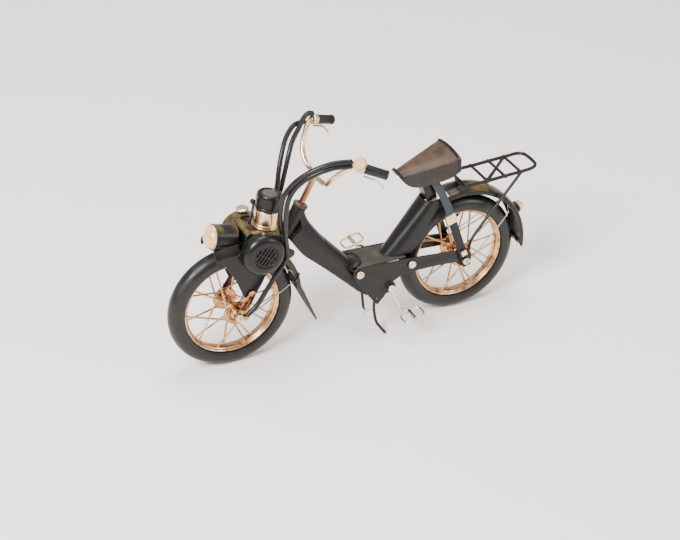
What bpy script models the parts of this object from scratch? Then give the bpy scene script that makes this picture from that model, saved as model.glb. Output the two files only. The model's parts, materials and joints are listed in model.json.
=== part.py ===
"""Small metal model of a pedal moped with its engine over the front wheel.

The nose points to -X, the tail to +X, the rider's right side is +Y and up is +Z.
The origin lies on the ground, under the middle of the model.
"""
import math

import bmesh
import bpy
from mathutils import Matrix, Vector

# ---------------------------------------------------------------- driving dimensions
MM = 0.001
GAP = 0.3                      # clearance left between neighbouring pieces, mm
FRONT_AXLE_X = -100.0          # mm, so that the whole model is centred on the origin
WHEEL_RADIUS = 48.0
WHEELBASE = 185.5
TYRE_RADIUS = 7.0              # radius of the tyre's round section
TYRE_SEAT = 37.2               # radius at which the tyre sits on the rim
RIM_HALF_WIDTH = 4.9
SPOKES_A_SIDE = 10
STEER_POINT = (56.8, 0.0, 121.8)
STEER_LEAN = math.radians(27.7)
CRANK_CENTRE = (123.2, 0.0, 39.4)
CRANK_THROW = 22.0
CRANK_ANGLE = math.radians(-59.0)
CRANK_Y = 21.3
CYLINDER_LEAN = math.radians(10.0)  # back, towards the rider
PEDAL_TILT = math.radians(16.0)
STAND_PIVOT = (111.5, 0.0, 30.5)
SIDE_PLATE_Y = 13.0
FORK_PLATE_Y = 14.5
CABLE_RADIUS = 1.7

STEER_UP = Vector((math.sin(STEER_LEAN), 0.0, math.cos(STEER_LEAN)))
ALONG_Y = Vector((0.0, 1.0, 0.0))
SIDES = (("left", -1.0), ("right", 1.0))

FINISHES = {
    "black_paint": ((0.030, 0.029, 0.028), 0.42, 0.35),
    "tyre_black": ((0.018, 0.018, 0.018), 0.62, 0.0),
    "copper_plate": ((0.56, 0.33, 0.21), 0.33, 0.9),
    "pale_metal": ((0.72, 0.65, 0.53), 0.35, 0.75),
    "bright_wire": ((0.75, 0.75, 0.74), 0.22, 1.0),
    "saddle_brown": ((0.13, 0.10, 0.085), 0.5, 0.0),
    "dark_bronze": ((0.16, 0.13, 0.09), 0.4, 0.7),
    "lens_cream": ((0.86, 0.79, 0.68), 0.25, 0.2),
    "cable_black": ((0.015, 0.015, 0.016), 0.38, 0.0),
    "strap_steel": ((0.16, 0.19, 0.21), 0.35, 0.7),
}


# ---------------------------------------------------------------- scene helpers
def clear_scene():
    for old in list(bpy.data.objects):
        bpy.data.objects.remove(old, do_unlink=True)


def new_collection(name):
    group = bpy.data.collections.new(name)
    bpy.context.scene.collection.children.link(group)
    return group


def make_finishes():
    made = {}
    for name, (colour, roughness, metallic) in FINISHES.items():
        material = bpy.data.materials.new(name)
        material.use_nodes = True
        shader = material.node_tree.nodes["Principled BSDF"]
        shader.inputs["Base Color"].default_value = (*colour, 1.0)
        shader.inputs["Roughness"].default_value = roughness
        shader.inputs["Metallic"].default_value = metallic
        made[name] = material
    return made


def at(x, y, z):
    """A point in metres, from millimetres behind the front axle, right and above ground."""
    return Vector(((FRONT_AXLE_X + x) * MM, y * MM, z * MM))


def steer_at(height):
    """The steering axis point at a height in millimetres."""
    climb = (height - STEER_POINT[2]) / STEER_UP.z
    return at(*(Vector(STEER_POINT) + STEER_UP * climb))


def place(name, mesh, finish, location=(0, 0, 0), rotation=None, smooth=35.0):
    """Link a mesh as one named piece of the model."""
    piece = bpy.data.objects.new(name, mesh)
    parts.objects.link(piece)
    piece.location = location
    if rotation is not None:
        piece.rotation_euler = rotation.to_euler()
    if finish:
        mesh.materials.clear()
        mesh.materials.append(finishes[finish])
    mesh.shade_smooth()
    mesh.set_sharp_from_angle(angle=math.radians(smooth))
    return piece


def turn_to(direction):
    """The rotation that takes local Z to a direction."""
    return Vector(direction).normalized().to_track_quat("Z", "Y")


def bake(piece):
    """Replace a piece's mesh or curve by its evaluated mesh."""
    bpy.context.view_layer.update()
    depsgraph = bpy.context.evaluated_depsgraph_get()
    mesh = bpy.data.meshes.new_from_object(piece.evaluated_get(depsgraph))
    mesh.name = piece.name
    if piece.type == "MESH":
        piece.modifiers.clear()
        piece.data = mesh
        return piece
    work = bmesh.new()
    work.from_mesh(mesh)
    bmesh.ops.remove_doubles(work, verts=work.verts, dist=1e-6)
    bmesh.ops.recalc_face_normals(work, faces=work.faces)
    work.to_mesh(mesh)
    work.free()
    name = piece.name
    pose = piece.matrix_world.copy()
    finish = piece.data.materials[0] if piece.data.materials else None
    bpy.data.objects.remove(piece, do_unlink=True)
    solid = place(name, mesh, finish.name if finish else None)
    solid.name = name
    solid.matrix_world = pose
    return solid


def combine(piece, other, operation):
    """Boolean one piece with another, which is then removed."""
    change = piece.modifiers.new(operation.lower(), "BOOLEAN")
    change.operation = operation
    change.solver = "EXACT"
    change.object = other
    bake(piece)
    bpy.data.objects.remove(other, do_unlink=True)
    return piece


def unite(piece, *others):
    for other in others:
        combine(piece, other, "UNION")
    return piece


def cut(piece, *others):
    for other in others:
        combine(piece, other, "DIFFERENCE")
    return piece


# ---------------------------------------------------------------- shape helpers
def turned(name, profile, centre, axis, finish, steps=24, hollow=False):
    """A solid of revolution. The profile lists (radius, height) from the top down."""
    points = [Vector((radius * MM, 0.0, height * MM)) for radius, height in profile]
    work = bmesh.new()
    rings = [work.verts.new(point) for point in points]
    for first, second in zip(rings, rings[1:]):
        work.edges.new((first, second))
    if hollow:
        work.edges.new((rings[-1], rings[0]))
    mesh = bpy.data.meshes.new(name)
    work.to_mesh(mesh)
    work.free()
    piece = place(name, mesh, finish, centre, turn_to(axis))
    screw = piece.modifiers.new("turn", "SCREW")
    screw.steps = steps
    screw.render_steps = steps
    screw.use_merge_vertices = True
    screw.merge_threshold = 1e-5
    screw.use_smooth_shade = True
    return bake(piece)


def rod(name, start, end, radius, finish, sides=10):
    """A plain round bar between two points in metres."""
    along = end - start
    half = along.length / MM / 2
    profile = [(0, half), (radius, half), (radius, -half), (0, -half)]
    return turned(name, profile, (start + end) / 2, along, finish, sides)


def smooth_path(points, spacing):
    """Points along a Catmull-Rom curve through the given ones, evenly spread."""
    ends = [2 * points[0] - points[1], *points, 2 * points[-1] - points[-2]]
    fine = []
    for index in range(1, len(ends) - 2):
        before, first, second, after = ends[index - 1:index + 3]
        steps = max(2, round((second - first).length / (spacing * MM)))
        for step in range(steps):
            t = step / steps
            fine.append(0.5 * (2 * first + (second - before) * t
                               + (2 * before - 5 * first + 4 * second - after) * t * t
                               + (3 * first - before - 3 * second + after) * t ** 3))
    fine.append(points[-1])
    return fine


def wire(name, points, radius, finish, closed=False, rounds=1, spacing=None):
    """A round wire or tube along a list of points in metres."""
    if spacing:
        points = smooth_path(points, spacing)
    curve = bpy.data.curves.new(name, "CURVE")
    curve.dimensions = "3D"
    curve.bevel_depth = radius * MM
    curve.bevel_resolution = rounds
    curve.use_fill_caps = not closed
    spline = curve.splines.new("POLY")
    spline.points.add(len(points) - 1)
    for knot, point in zip(spline.points, points):
        knot.co = (*point, 1.0)
    spline.use_cyclic_u = closed
    piece = bpy.data.objects.new(name, curve)
    parts.objects.link(piece)
    curve.materials.append(finishes[finish])
    return bake(piece)


def plate(name, outline, thickness, y, finish, bevel=0.0):
    """A flat plate standing in the XZ plane, from its outline in millimetres."""
    curve = bpy.data.curves.new(name, "CURVE")
    curve.dimensions = "2D"
    curve.fill_mode = "BOTH"
    curve.extrude = thickness * MM / 2
    spline = curve.splines.new("POLY")
    spline.points.add(len(outline) - 1)
    for knot, (x, z) in zip(spline.points, outline):
        knot.co = ((FRONT_AXLE_X + x) * MM, z * MM, 0.0, 1.0)
    spline.use_cyclic_u = True
    piece = bpy.data.objects.new(name, curve)
    parts.objects.link(piece)
    curve.materials.append(finishes[finish])
    piece.rotation_euler = (math.pi / 2, 0.0, 0.0)
    piece.location = (0.0, y * MM, 0.0)
    solid = bake(piece)
    if bevel:
        edge = solid.modifiers.new("edge", "BEVEL")
        edge.width = bevel * MM
        edge.segments = 2
        edge.limit_method = "ANGLE"
        edge.angle_limit = math.radians(50)
        bake(solid)
    return solid


def block(name, centre, size, finish, rotation=None, bevel=0.0):
    """A box, with its size in millimetres and its centre in metres."""
    work = bmesh.new()
    bmesh.ops.create_cube(work, size=1.0)
    bmesh.ops.scale(work, vec=Vector(size) * MM, verts=work.verts)
    mesh = bpy.data.meshes.new(name)
    work.to_mesh(mesh)
    work.free()
    piece = place(name, mesh, finish, centre, rotation)
    if bevel:
        edge = piece.modifiers.new("edge", "BEVEL")
        edge.width = bevel * MM
        edge.segments = 2
        bake(piece)
    return piece


def loft(name, rings, finish, shell=0.0):
    """Skin a row of sections. Closed sections make a solid, open ones a thin shell."""
    work = bmesh.new()
    rows = [[work.verts.new(point) for point in ring] for ring in rings]
    count = len(rows[0])
    last = count - 1 if shell else count
    for row, following in zip(rows, rows[1:]):
        for index in range(last):
            after = (index + 1) % count
            work.faces.new((row[index], row[after], following[after], following[index]))
    if not shell:
        work.faces.new(rows[0])
        work.faces.new(rows[-1])
    bmesh.ops.recalc_face_normals(work, faces=work.faces)
    mesh = bpy.data.meshes.new(name)
    work.to_mesh(mesh)
    work.free()
    piece = place(name, mesh, finish)
    if shell:
        wall = piece.modifiers.new("wall", "SOLIDIFY")
        wall.thickness = abs(shell) * MM
        wall.offset = 0.0
        wall.use_even_offset = True
        bake(piece)
    return piece


def ribbon(name, points, width, thickness, finish):
    """A flat strap that stands in the XZ plane. The points are (x, y, z) in millimetres."""
    rings = []
    for index, point in enumerate(points):
        before = Vector(points[max(index - 1, 0)])
        after = Vector(points[min(index + 1, len(points) - 1)])
        along = (after - before).normalized()
        across = along.cross(ALONG_Y).normalized() * width / 2
        half = ALONG_Y * thickness / 2
        middle = Vector(point)
        corners = (middle + across + half, middle + across - half,
                   middle - across - half, middle - across + half)
        rings.append([at(*corner) for corner in corners])
    return loft(name, rings, finish)


def arc(centre, radius, start, end, count):
    """Points (x, z) on an arc, in degrees from +X towards +Z."""
    points = []
    for index in range(count):
        angle = math.radians(start + (end - start) * index / (count - 1))
        points.append((centre[0] + radius * math.cos(angle), centre[1] + radius * math.sin(angle)))
    return points


# ---------------------------------------------------------------- wheels
def wheel(prefix, axle_x, hub_half):
    """Tyre, rim, and the hub with its crossed spokes, around one axle."""
    centre = at(axle_x, 0, WHEEL_RADIUS)
    core = WHEEL_RADIUS - TYRE_RADIUS
    bead = math.degrees(math.acos((TYRE_SEAT - core) / TYRE_RADIUS))
    section = []
    for step in range(9):
        angle = math.radians(bead - 2 * bead * step / 8)
        section.append((core + TYRE_RADIUS * math.cos(angle), TYRE_RADIUS * math.sin(angle)))
    turned(prefix + "_tyre", section, centre, ALONG_Y, "tyre_black", 36, hollow=True)

    lip = TYRE_SEAT - GAP
    half = RIM_HALF_WIDTH
    rim = [(lip, half), (lip, -half), (35.6, -half), (34.0, -half + 1.4),
           (33.3, 0.0), (34.0, half - 1.4), (35.6, half)]
    turned(prefix + "_rim", rim, centre, ALONG_Y, "copper_plate", 36, hollow=True)

    hub = [(1.9, hub_half), (4.2, hub_half), (4.4, hub_half - 1.4), (8.2, hub_half - 3.6),
           (8.6, hub_half - 5.2), (3.4, hub_half - 6.0), (3.4, 6.0 - hub_half),
           (8.6, 5.2 - hub_half), (8.2, 3.6 - hub_half), (4.4, 1.4 - hub_half),
           (4.2, -hub_half), (1.9, -hub_half)]
    body = turned(prefix + "_hub_and_spokes", hub, centre, ALONG_Y, "copper_plate", 18, hollow=True)
    pitch = 2 * math.pi / SPOKES_A_SIDE
    for side, hand in SIDES:
        for index in range(SPOKES_A_SIDE):
            trailing = index % 2
            tip = pitch * index + (pitch / 4 if hand > 0 else 0)
            foot = tip + math.radians(41 if trailing else -37)
            root = 6.7 + 0.8 * trailing
            inner = Vector((root * math.cos(foot), hand * (hub_half - 4.5 + 0.2 * trailing),
                            root * math.sin(foot)))
            outer = Vector((33.0 * math.cos(tip), hand * (0.6 + 0.7 * trailing),
                            33.0 * math.sin(tip)))
            unite(body, rod("spoke", centre + inner * MM, centre + outer * MM, 0.62,
                            "copper_plate", 5))


# ---------------------------------------------------------------- front end, which steers
def front_fork():
    """The pressed fork: two tapering cheeks, their folded-in ears and the crown."""
    cheek = [(-13.0, 98.2), (-12.8, 96.8), (-6.2, 87.6), (-0.5, 76.5), (3.2, 66.9), (6.0, 60.8),
             (9.0, 59.2), (12.6, 60.2), (19.1, 70.2), (22.1, 77.0), (33.5, 84.2), (44.0, 87.0),
             (45.0, 91.5), (37.5, 96.5), (37.0, 103.0), (33.0, 107.5), (6.0, 108.5), (2.0, 98.2)]
    crown_turn = Matrix.Rotation(STEER_LEAN, 3, "Y")
    crown = block("front_fork", steer_at(90.6), (7.5, 2 * FORK_PLATE_Y, 4.4), "black_paint",
                  crown_turn, 0.5)
    for side, hand in SIDES:
        unite(crown, plate("cheek", cheek, 1.2, hand * FORK_PLATE_Y, "black_paint"))
        ear = [[at(x, hand * (FORK_PLATE_Y + 0.55), 97.6), at(x, hand * (FORK_PLATE_Y - 0.55), 97.6),
                at(x - lean, hand * 10.4, 103.4), at(x - lean, hand * 11.2, 104.2)]
               for x, lean in ((-15.6, 2.0), (4.0, 0.0))]
        unite(crown, loft("ear", ear, "black_paint"))
    socket = turned("socket", [(0, 9), (2.5, 9), (2.5, -9), (0, -9)], steer_at(90.6), STEER_UP,
                    "black_paint", 24)
    return cut(crown, socket)


def fork_links():
    """A copper link on each side that hangs the axle from the cheek."""
    for side, hand in SIDES:
        low = arc((1.2, 47.6), 4.6, 190, 360, 7)
        high = arc((10.6, 64.2), 3.0, 0, 165, 6)
        link = plate("fork_link_" + side, low + high, 1.5, hand * 16.2, "copper_plate")
        drill = rod("drill", at(0, hand * 12, WHEEL_RADIUS), at(0, hand * 20, WHEEL_RADIUS), 1.8,
                    "copper_plate", 20)
        cut(link, drill)
        boss = rod("boss", at(5.0, hand * 16.2, 46.6), at(5.0, hand * 19.0, 46.6), 1.9,
                   "copper_plate", 14)
        unite(link, boss)


def axle(name, x, half, nut_from):
    """A turned axle with a round nut on each end."""
    centre = at(x, 0, WHEEL_RADIUS)
    end = [(0, half), (1.4, half), (1.6, half - 0.3), (1.6, nut_from + 2.0), (2.8, nut_from + 2.0),
           (2.8, nut_from), (1.55, nut_from)]
    profile = end + [(radius, -height) for radius, height in reversed(end)]
    turned(name, profile, centre, ALONG_Y, "pale_metal", 12)


def engine():
    """Crankcase, flywheel cover with its grille, tank, cylinder and head."""
    bed = arc((0.0, WHEEL_RADIUS), 50.4, 47.5, 81.3, 6)
    outline = bed + [(7.6, 112.6), (9.6, 114.8), (12.4, 114.0), (15.4, 111.4), (17.0, 110.4),
                     (36.2, 107.0), (37.2, 105.4), (36.6, 97.0)]
    plate("engine_casing", outline, 2 * (FORK_PLATE_Y - 0.9), 0.0, "black_paint", 1.2)

    cover = at(18.2, -15.4, 98.2)
    dome = [(0, 8.6), (8.9, 8.6), (9.1, 10.1), (11.0, 10.0)]
    dome += [(11.0 + 5.0 * math.sin(t), 5.0 + 5.0 * math.cos(t))
             for t in (math.radians(a) for a in (25, 45, 65, 90))]
    dome += [(16.0, 0.0), (0, 0.0)]
    turned("flywheel_cover", dome, cover, -ALONG_Y, "black_paint", 28)
    grille = turned("flywheel_grille", [(0, 1.0), (8.2, 1.0), (8.5, 0.7), (8.5, 0), (0, 0)],
                    at(18.2, -24.3, 98.2), -ALONG_Y, "black_paint", 28)
    for index in range(4):
        offset = (index - 1.5) * 3.0
        reach = math.sqrt(7.2 ** 2 - offset ** 2)
        slant = Matrix.Rotation(math.radians(-52), 3, "Y")
        middle = Vector((0, 0, offset))
        middle.rotate(slant)
        slot = block("slot", at(18.2 + middle.x, -25.2, 98.2 + middle.z), (2 * reach, 1.0, 1.1),
                     "black_paint", slant)
        cut(grille, slot)

    tank = [(0, 8.8), (12.8, 8.8), (14.6, 8.0), (15.5, 6.2), (15.5, 0.0), (0, 0.0)]
    drum = turned("fuel_tank", tank, at(17.4, 15.4, 96.2), ALONG_Y, "black_paint", 28)
    neck = turned("neck", [(0, 4.4), (3.3, 4.4), (3.3, -4.0), (0, -4.0)],
                  at(18.6, 19.0, 108.6), (0, 0, 1), "black_paint", 16)
    unite(drum, neck)
    turned("fuel_cap", [(0, 1.5), (3.0, 1.4), (4.4, 0.9), (4.8, 0.3), (4.8, -0.8), (0, -0.8)],
           at(18.6, 19.0, 114.1), (0, 0, 1), "pale_metal", 24)

    lean = Vector((math.sin(CYLINDER_LEAN), 0, math.cos(CYLINDER_LEAN)))
    foot = Vector((27.6, 0, 108.9))
    barrel = [(0, 13.6), (8.9, 13.6), (9.2, 13.2), (9.2, 3.2), (9.7, 2.9), (9.7, 2.2), (9.3, 1.9),
              (9.3, 1.5), (9.9, 1.2), (9.9, 0.2), (0, 0.0)]
    turned("engine_cylinder", barrel, at(*foot), lean, "copper_plate", 24)
    head = [(0, 11.4), (6.0, 11.4), (6.3, 12.3), (7.0, 12.3), (8.4, 11.4), (9.2, 9.4), (9.5, 6.6),
            (9.5, 0.4), (9.2, 0.0), (0, 0.0)]
    turned("cylinder_head", head, at(*(foot + lean * 13.9)), lean, "black_paint", 24)
    knob_at = at(18.5, 0, 130.6)
    lever = ribbon("decompressor_lever", [(15.6, 0, 113.0), (18.0, 0, 122.0), (19.8, 0, 131.5)],
                   2.6, 1.2, "black_paint")
    knob = turned("knob", [(0, 1.9), (1.4, 1.5), (2.1, 0), (1.4, -1.5), (0, -1.9)], knob_at,
                  (-1, 0, 0.2), "black_paint", 14)
    unite(lever, knob)


def headlamp():
    """A straight-sided shell with a domed lens, tipped up a little."""
    back = Vector((7.6, 0, 104.4))
    face = Vector((-13.3, 0, 108.9))
    forward = (face - back).normalized()
    length = (face - back).length
    rim = length - 3.2
    shell = [(0, rim - 5.0), (8.4, rim - 5.0), (8.4, rim), (9.5, rim), (9.6, rim - 1.4),
             (9.3, rim - 1.8), (9.3, 1.0), (8.6, 0.0), (0, 0.0)]
    turned("headlamp_shell", shell, at(4.9, 0, 105.0), forward, "black_paint", 28)
    lens = [(0, 5.4)]
    lens += [(8.0 * math.sin(t), 5.4 * math.cos(t)) for t in (math.radians(a) for a in (30, 55, 75, 90))]
    lens += [(8.0, -3.6), (0, -3.6)]
    seat = Vector((4.9, 0, 105.0)) + forward * rim
    turned("headlamp_lens", lens, at(*seat), forward, "lens_cream", 28)


def guard_section(centre, radius, drop, half, angle, skirt_angle, shoulder=0.5):
    """One open section of a mudguard: a rounded crown with a skirt on each side."""
    section = []
    for share in (-1.0, -1.0, -0.86, -0.5, 0.0, 0.5, 0.86, 1.0, 1.0):
        index = len(section)
        skirt = index in (0, 8)
        fall = drop if skirt else (1 - math.sqrt(max(0.0, 1 - share * share))) * drop * shoulder
        turn = math.radians(skirt_angle if skirt else angle)
        reach = radius - fall
        section.append(at(centre[0] + reach * math.cos(turn), share * half,
                          centre[1] + reach * math.sin(turn)))
    return section


def front_mudguard():
    """A rolled strip behind the front wheel that runs out into a straight pointed tail."""
    hub = (0.0, WHEEL_RADIUS)
    rings = [guard_section(hub, 54.4, 4.0, 7.8, angle, angle) for angle in (38, 30, 22, 14, 6)]
    tail = ((57.2, 46.6, 6.6, 3.2), (61.0, 37.0, 4.8, 2.4), (65.0, 27.0, 3.0, 1.6),
            (69.0, 17.4, 1.2, 0.9))
    for x, z, half, drop in tail:
        ring = []
        for share, fall in ((-1, 1.0), (-1, 0.5), (-0.86, 0.25), (-0.5, 0.07), (0, 0), (0.5, 0.07),
                            (0.86, 0.25), (1, 0.5), (1, 1.0)):
            ring.append(at(x - fall * drop * 0.93, share * half, z - fall * drop * 0.36))
        rings.append(ring)
    loft("front_mudguard", rings, "black_paint", 0.8)
    path = [(8.5, -19.6, 50.4), (16.0, -19.0, 53.4), (30.0, -15.6, 58.2), (41.0, -11.6, 61.0),
            (46.0, -8.6, 61.2), (48.4, -5.0, 62.8), (49.5, 0, 63.8)]
    path += [(x, -y, z) for x, y, z in reversed(path[:-1])]
    wire("front_mudguard_stay", [at(*point) for point in path], 0.7, "bright_wire", spacing=5)


def handlebar():
    """One bent tube with a stem, and on each end a collar, a grip and a lever."""
    half = [(66.4, 0, 140.2), (67.6, 7, 139.4), (68.3, 13, 139.8), (67.4, 18, 142.6),
            (67.4, 22, 146.6), (68.6, 26, 151.0), (71.8, 30, 156.4), (75.4, 34, 160.8),
            (80.2, 37.8, 163.6), (85.1, 39.6, 162.4)]
    grip_way = (Vector((101.6, 45.5, 155.8)) - Vector((85.1, 39.6, 162.4))).normalized()
    grip_root = Vector((85.1, 39.6, 162.4))
    tip = grip_root + grip_way * 12
    run = [(x, -y, z) for x, y, z in reversed(half[1:])] + half
    run = [(tip.x, -tip.y, tip.z)] + run + [tuple(tip)]
    bar = wire("handlebar_and_stem", [at(*point) for point in run], 1.85, "copper_plate",
               rounds=2, spacing=4)
    stem = rod("stem", steer_at(88.8), steer_at(140.0), 2.2, "copper_plate", 16)
    unite(bar, stem)
    for side, hand in SIDES:
        way = Vector((grip_way.x, hand * grip_way.y, grip_way.z))
        root = Vector((grip_root.x, hand * grip_root.y, grip_root.z))
        grip = [(0, 17.6), (2.6, 17.6), (3.4, 16.8), (3.35, 0.2), (2.3, 0.2), (2.3, 13.4), (0, 13.4)]
        turned("grip_" + side, grip, at(*(root + way * 0.6)), way, "cable_black", 16)
        collar = [(2.3, 4.2), (3.9, 4.2), (4.1, 3.6), (4.1, 0.6), (3.7, 0.0), (2.3, 0.0)]
        turned("control_collar_" + side, collar, at(*(root - way * 3.9)), way, "pale_metal", 16,
               hollow=True)
        path = [(84.6, 40.6, 157.0), (89.0, 42.4, 155.8), (93.6, 44.0, 152.8), (97.8, 45.2, 147.0)]
        lever = wire("brake_lever_" + side, [at(x, hand * y, z) for x, y, z in path], 0.8,
                     "bright_wire", spacing=4)
        tip_ball = turned("ball", [(0, 1.3), (0.9, 0.9), (1.3, 0), (0.9, -0.9), (0, -1.3)],
                          at(path[-1][0], hand * path[-1][1], path[-1][2]), (0, 0, 1),
                          "bright_wire", 10)
        unite(lever, tip_ball)
    facing = Vector((-0.35, -0.76, 0.55)).normalized()
    disc = [(0, 1.5), (3.0, 1.5), (3.3, 1.1), (4.0, 0.9), (4.2, 0.4), (4.2, -0.6), (0, -0.6)]
    turned("control_dial", disc, at(80.8, -41.9, 168.0) + facing * 1.9 * MM, facing, "lens_cream", 18)


def cables():
    """Four sheathed cables from the two controls to the engine and the front brake."""
    routes = {
        "cable_left_throttle": [(76.4, -41.4, 170.6), (62.5, -38, 170.3), (49.9, -34, 166.1),
                                (40.5, -30, 159.6), (34.9, -27, 152.6), (30.9, -25, 143.6),
                                (30.0, -22.5, 131.3), (31.2, -19.8, 119), (33.4, -17.8, 110.5)],
        "cable_left_brake": [(76.2, -41.4, 166.6), (62.6, -38, 166.0), (48.9, -34, 161.1),
                             (40.5, -30, 153.7), (35.3, -27.4, 145.2), (33.0, -25.6, 133),
                             (34.0, -22.4, 112), (36.4, -19.6, 96), (34.4, -20.2, 88.4),
                             (27.2, -20.4, 78.4), (19.2, -20.4, 66.5), (13.2, -20.6, 58.0),
                             (8.0, -20.8, 53.2)],
        "cable_right_choke": [(77.6, 41.0, 161.2), (70.6, 38.4, 162.8), (65.0, 36, 162.0),
                              (58.4, 32, 156.5), (53.3, 27, 149.4), (48.3, 21.6, 138.2),
                              (45.0, 18.4, 124.6), (40.8, 17.2, 112.6), (36.5, 17.0, 106.0)],
        "cable_right_brake": [(78.6, 38.8, 168.4), (73.7, 36.4, 166.2), (68.8, 33, 161.6),
                              (61.6, 28, 155.0), (56.6, 23.4, 146.8), (52.2, 20.6, 134.4),
                              (49.4, 21.4, 120.6), (45.0, 22.4, 104.0), (38.0, 21.4, 88.4),
                              (27.2, 20.4, 75.4), (19.2, 20.4, 66.5), (13.2, 20.6, 58.0),
                              (8.0, 20.8, 53.2)],
    }
    for name, route in routes.items():
        wire(name, [at(*point) for point in route], CABLE_RADIUS, "cable_black", rounds=2, spacing=6)


# ---------------------------------------------------------------- frame
def main_beam():
    """The deep folded beam from the head down to the foot of the frame, with its head tube."""
    stations = [((57.5, 107.5), (44.6, 95.6), 8.0), ((66.6, 96.4), (54.0, 82.1), 9.0),
                ((80.4, 80.9), (68.0, 68.9), 9.0), ((92.0, 67.8), (80.0, 57.4), 9.0),
                ((99.3, 59.0), (90.0, 47.6), 9.0), ((108.0, 50.0), (100.0, 37.8), 9.0),
                ((112.0, 42.6), (106.4, 33.0), 9.0)]
    rings = []
    for top, low, half in stations:
        rise = Vector((top[0] - low[0], 0, top[1] - low[1]))
        ring = []
        for side, share in ((-1, 0.0), (-1, 0.26), (-1, 0.46)):
            ring.append((side * half, share))
        for degrees in (155, 130, 110, 90, 70, 50, 25):
            t = math.radians(degrees)
            ring.append((half * math.cos(t), 0.48 + 0.52 * math.sin(t)))
        for side, share in ((1, 0.46), (1, 0.26), (1, 0.0)):
            ring.append((side * half, share))
        rings.append([at(low[0] + rise.x * share, y, low[1] + rise.z * share) for y, share in ring])
    beam = loft("main_beam", rings, "black_paint")
    head = rod("head", steer_at(95.2), steer_at(117.6), 5.2, "black_paint", 24)
    unite(beam, head)
    bore = rod("bore", steer_at(90.0), steer_at(125.0), 2.6, "black_paint", 20)
    through = rod("through", at(97.8, -12, 56.6), at(97.8, 12, 56.6), 1.9, "black_paint", 16)
    cut(beam, bore, through)
    collar = [(2.6, 3.0), (4.8, 3.0), (5.6, 2.4), (5.7, 0.8), (5.3, 0.0), (2.6, 0.0)]
    turned("head_collar", collar, steer_at(117.95), STEER_UP, "dark_bronze", 18, hollow=True)


def side_plates():
    """The platform, and on each side the plate that runs back as an arm to the rear axle."""
    block("platform", at(117.6, 0, 60.9), (32.8, 2 * (SIDE_PLATE_Y - 1.1), 1.2), "black_paint",
          bevel=0.3)
    rear_eye = (185.5, 48.6)
    outline = [(95.0, 61.8), (92.6, 59.4), (92.4, 55.4), (95.4, 49.6), (102.0, 40.6),
               (108.6, 31.2), (111.6, 27.0), (113.9, 26.2), (115.2, 28.6), (119.2, 32.0),
               (121.0, 40.4), (130.9, 46.2), (134.6, 48.0), (160.0, 47.8), (180.6, 46.6)]
    outline += arc(rear_eye, 6.6, 215, 430, 8)
    outline += [(179.0, 56.7), (137.3, 60.2)]
    for side, hand in SIDES:
        arm = plate("side_arm_" + side, outline, 1.6, hand * SIDE_PLATE_Y, "black_paint")
        holes = (((185.5, 48.0), 1.9), ((97.8, 56.6), 1.9), ((140.8, 54.8), 1.9),
                 ((CRANK_CENTRE[0], CRANK_CENTRE[2]), 4.7), ((STAND_PIVOT[0], STAND_PIVOT[2]), 1.5))
        for centre, radius in holes:
            cut(arm, rod("drill", at(centre[0], hand * 8, centre[1]),
                         at(centre[0], hand * 18, centre[1]), radius, "black_paint", 16))
    head = [(0, 2.3), (1.8, 2.1), (2.9, 1.3), (3.2, 0.4), (3.2, 0.1), (1.55, 0.1)]
    seat = SIDE_PLATE_Y + 1.0
    profile = [(radius, height + seat) for radius, height in head]
    profile += [(radius, -height) for radius, height in reversed(profile)]
    turned("front_through_bolt", profile, at(97.8, 0, 56.6), ALONG_Y, "pale_metal", 12)
    for side, hand in SIDES:
        short = [(radius, height) for radius, height in head] + [(1.55, -2.4), (0, -2.4)]
        turned("arm_bolt_" + side, short, at(140.8, hand * seat, 54.8), ALONG_Y * hand,
               "pale_metal", 12)
    shell = [(2.0, 14.9), (4.3, 14.9), (4.3, -14.9), (2.0, -14.9)]
    turned("crank_housing", shell, at(*CRANK_CENTRE), ALONG_Y, "black_paint", 20, hollow=True)


def seat_pillar():
    """A U-folded pillar, round in front and open behind, that leans back over the wheel."""
    foot = Vector((119.2, 59.6))
    top = Vector((153.2, 101.2))
    along = (top - foot).normalized()
    back = Vector((along.y, -along.x))
    outer, inner = [], []
    for degrees in range(0, 181, 15):
        t = math.radians(degrees)
        outer.append((9.5 * math.cos(t), 11.0 - 11.0 * math.sin(t)))
        inner.append((8.5 * math.cos(t), 11.0 - 10.0 * math.sin(t)))
    section = [(9.5, 19.5)] + outer + [(-9.5, 19.5), (-8.5, 19.5)] + inner[::-1] + [(8.5, 19.5)]
    rings = []
    for end, slope, reach in ((foot, back, 1.0), (top, Vector((0.985, 0.17)), 0.78)):
        rings.append([at(end.x + slope.x * depth * reach, y, end.y + slope.y * depth * reach)
                      for y, depth in section])
    pillar = loft("seat_pillar", rings, "black_paint")
    floor = block("floor", at(150, 0, 40), (120, 40, 43.8), "black_paint")
    return cut(pillar, floor)


def saddle():
    """A folded sheet: a wedge-shaped top with a flap on each side, on a block."""
    stations = ((133.2, 5.4, 127.6, 124.6), (137.5, 6.6, 129.0, 120.0), (143.0, 8.2, 130.4, 117.4),
                (150.0, 9.9, 132.2, 117.6), (163.0, 13.2, 135.6, 120.6), (171.5, 15.3, 137.9, 123.8),
                (175.0, 16.1, 138.7, 127.0))
    rings = []
    for x, half, top, low in stations:
        ring = [(-half, low), (-half, (low + top) / 2), (-half, top - 2.9), (-half + 0.6, top - 2.0),
                (-half * 0.6, top - 0.6)]
        ring += [(-y, z) for y, z in reversed(ring)]
        rings.append([at(x, y, z) for y, z in ring])
    loft("saddle", rings, "saddle_brown", 1.0)
    block("saddle_block", at(156.3, 0, 113.6), (8.6, 12.0, 25.0), "black_paint",
          Matrix.Rotation(math.radians(-18), 3, "Y"), 0.8)


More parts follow.
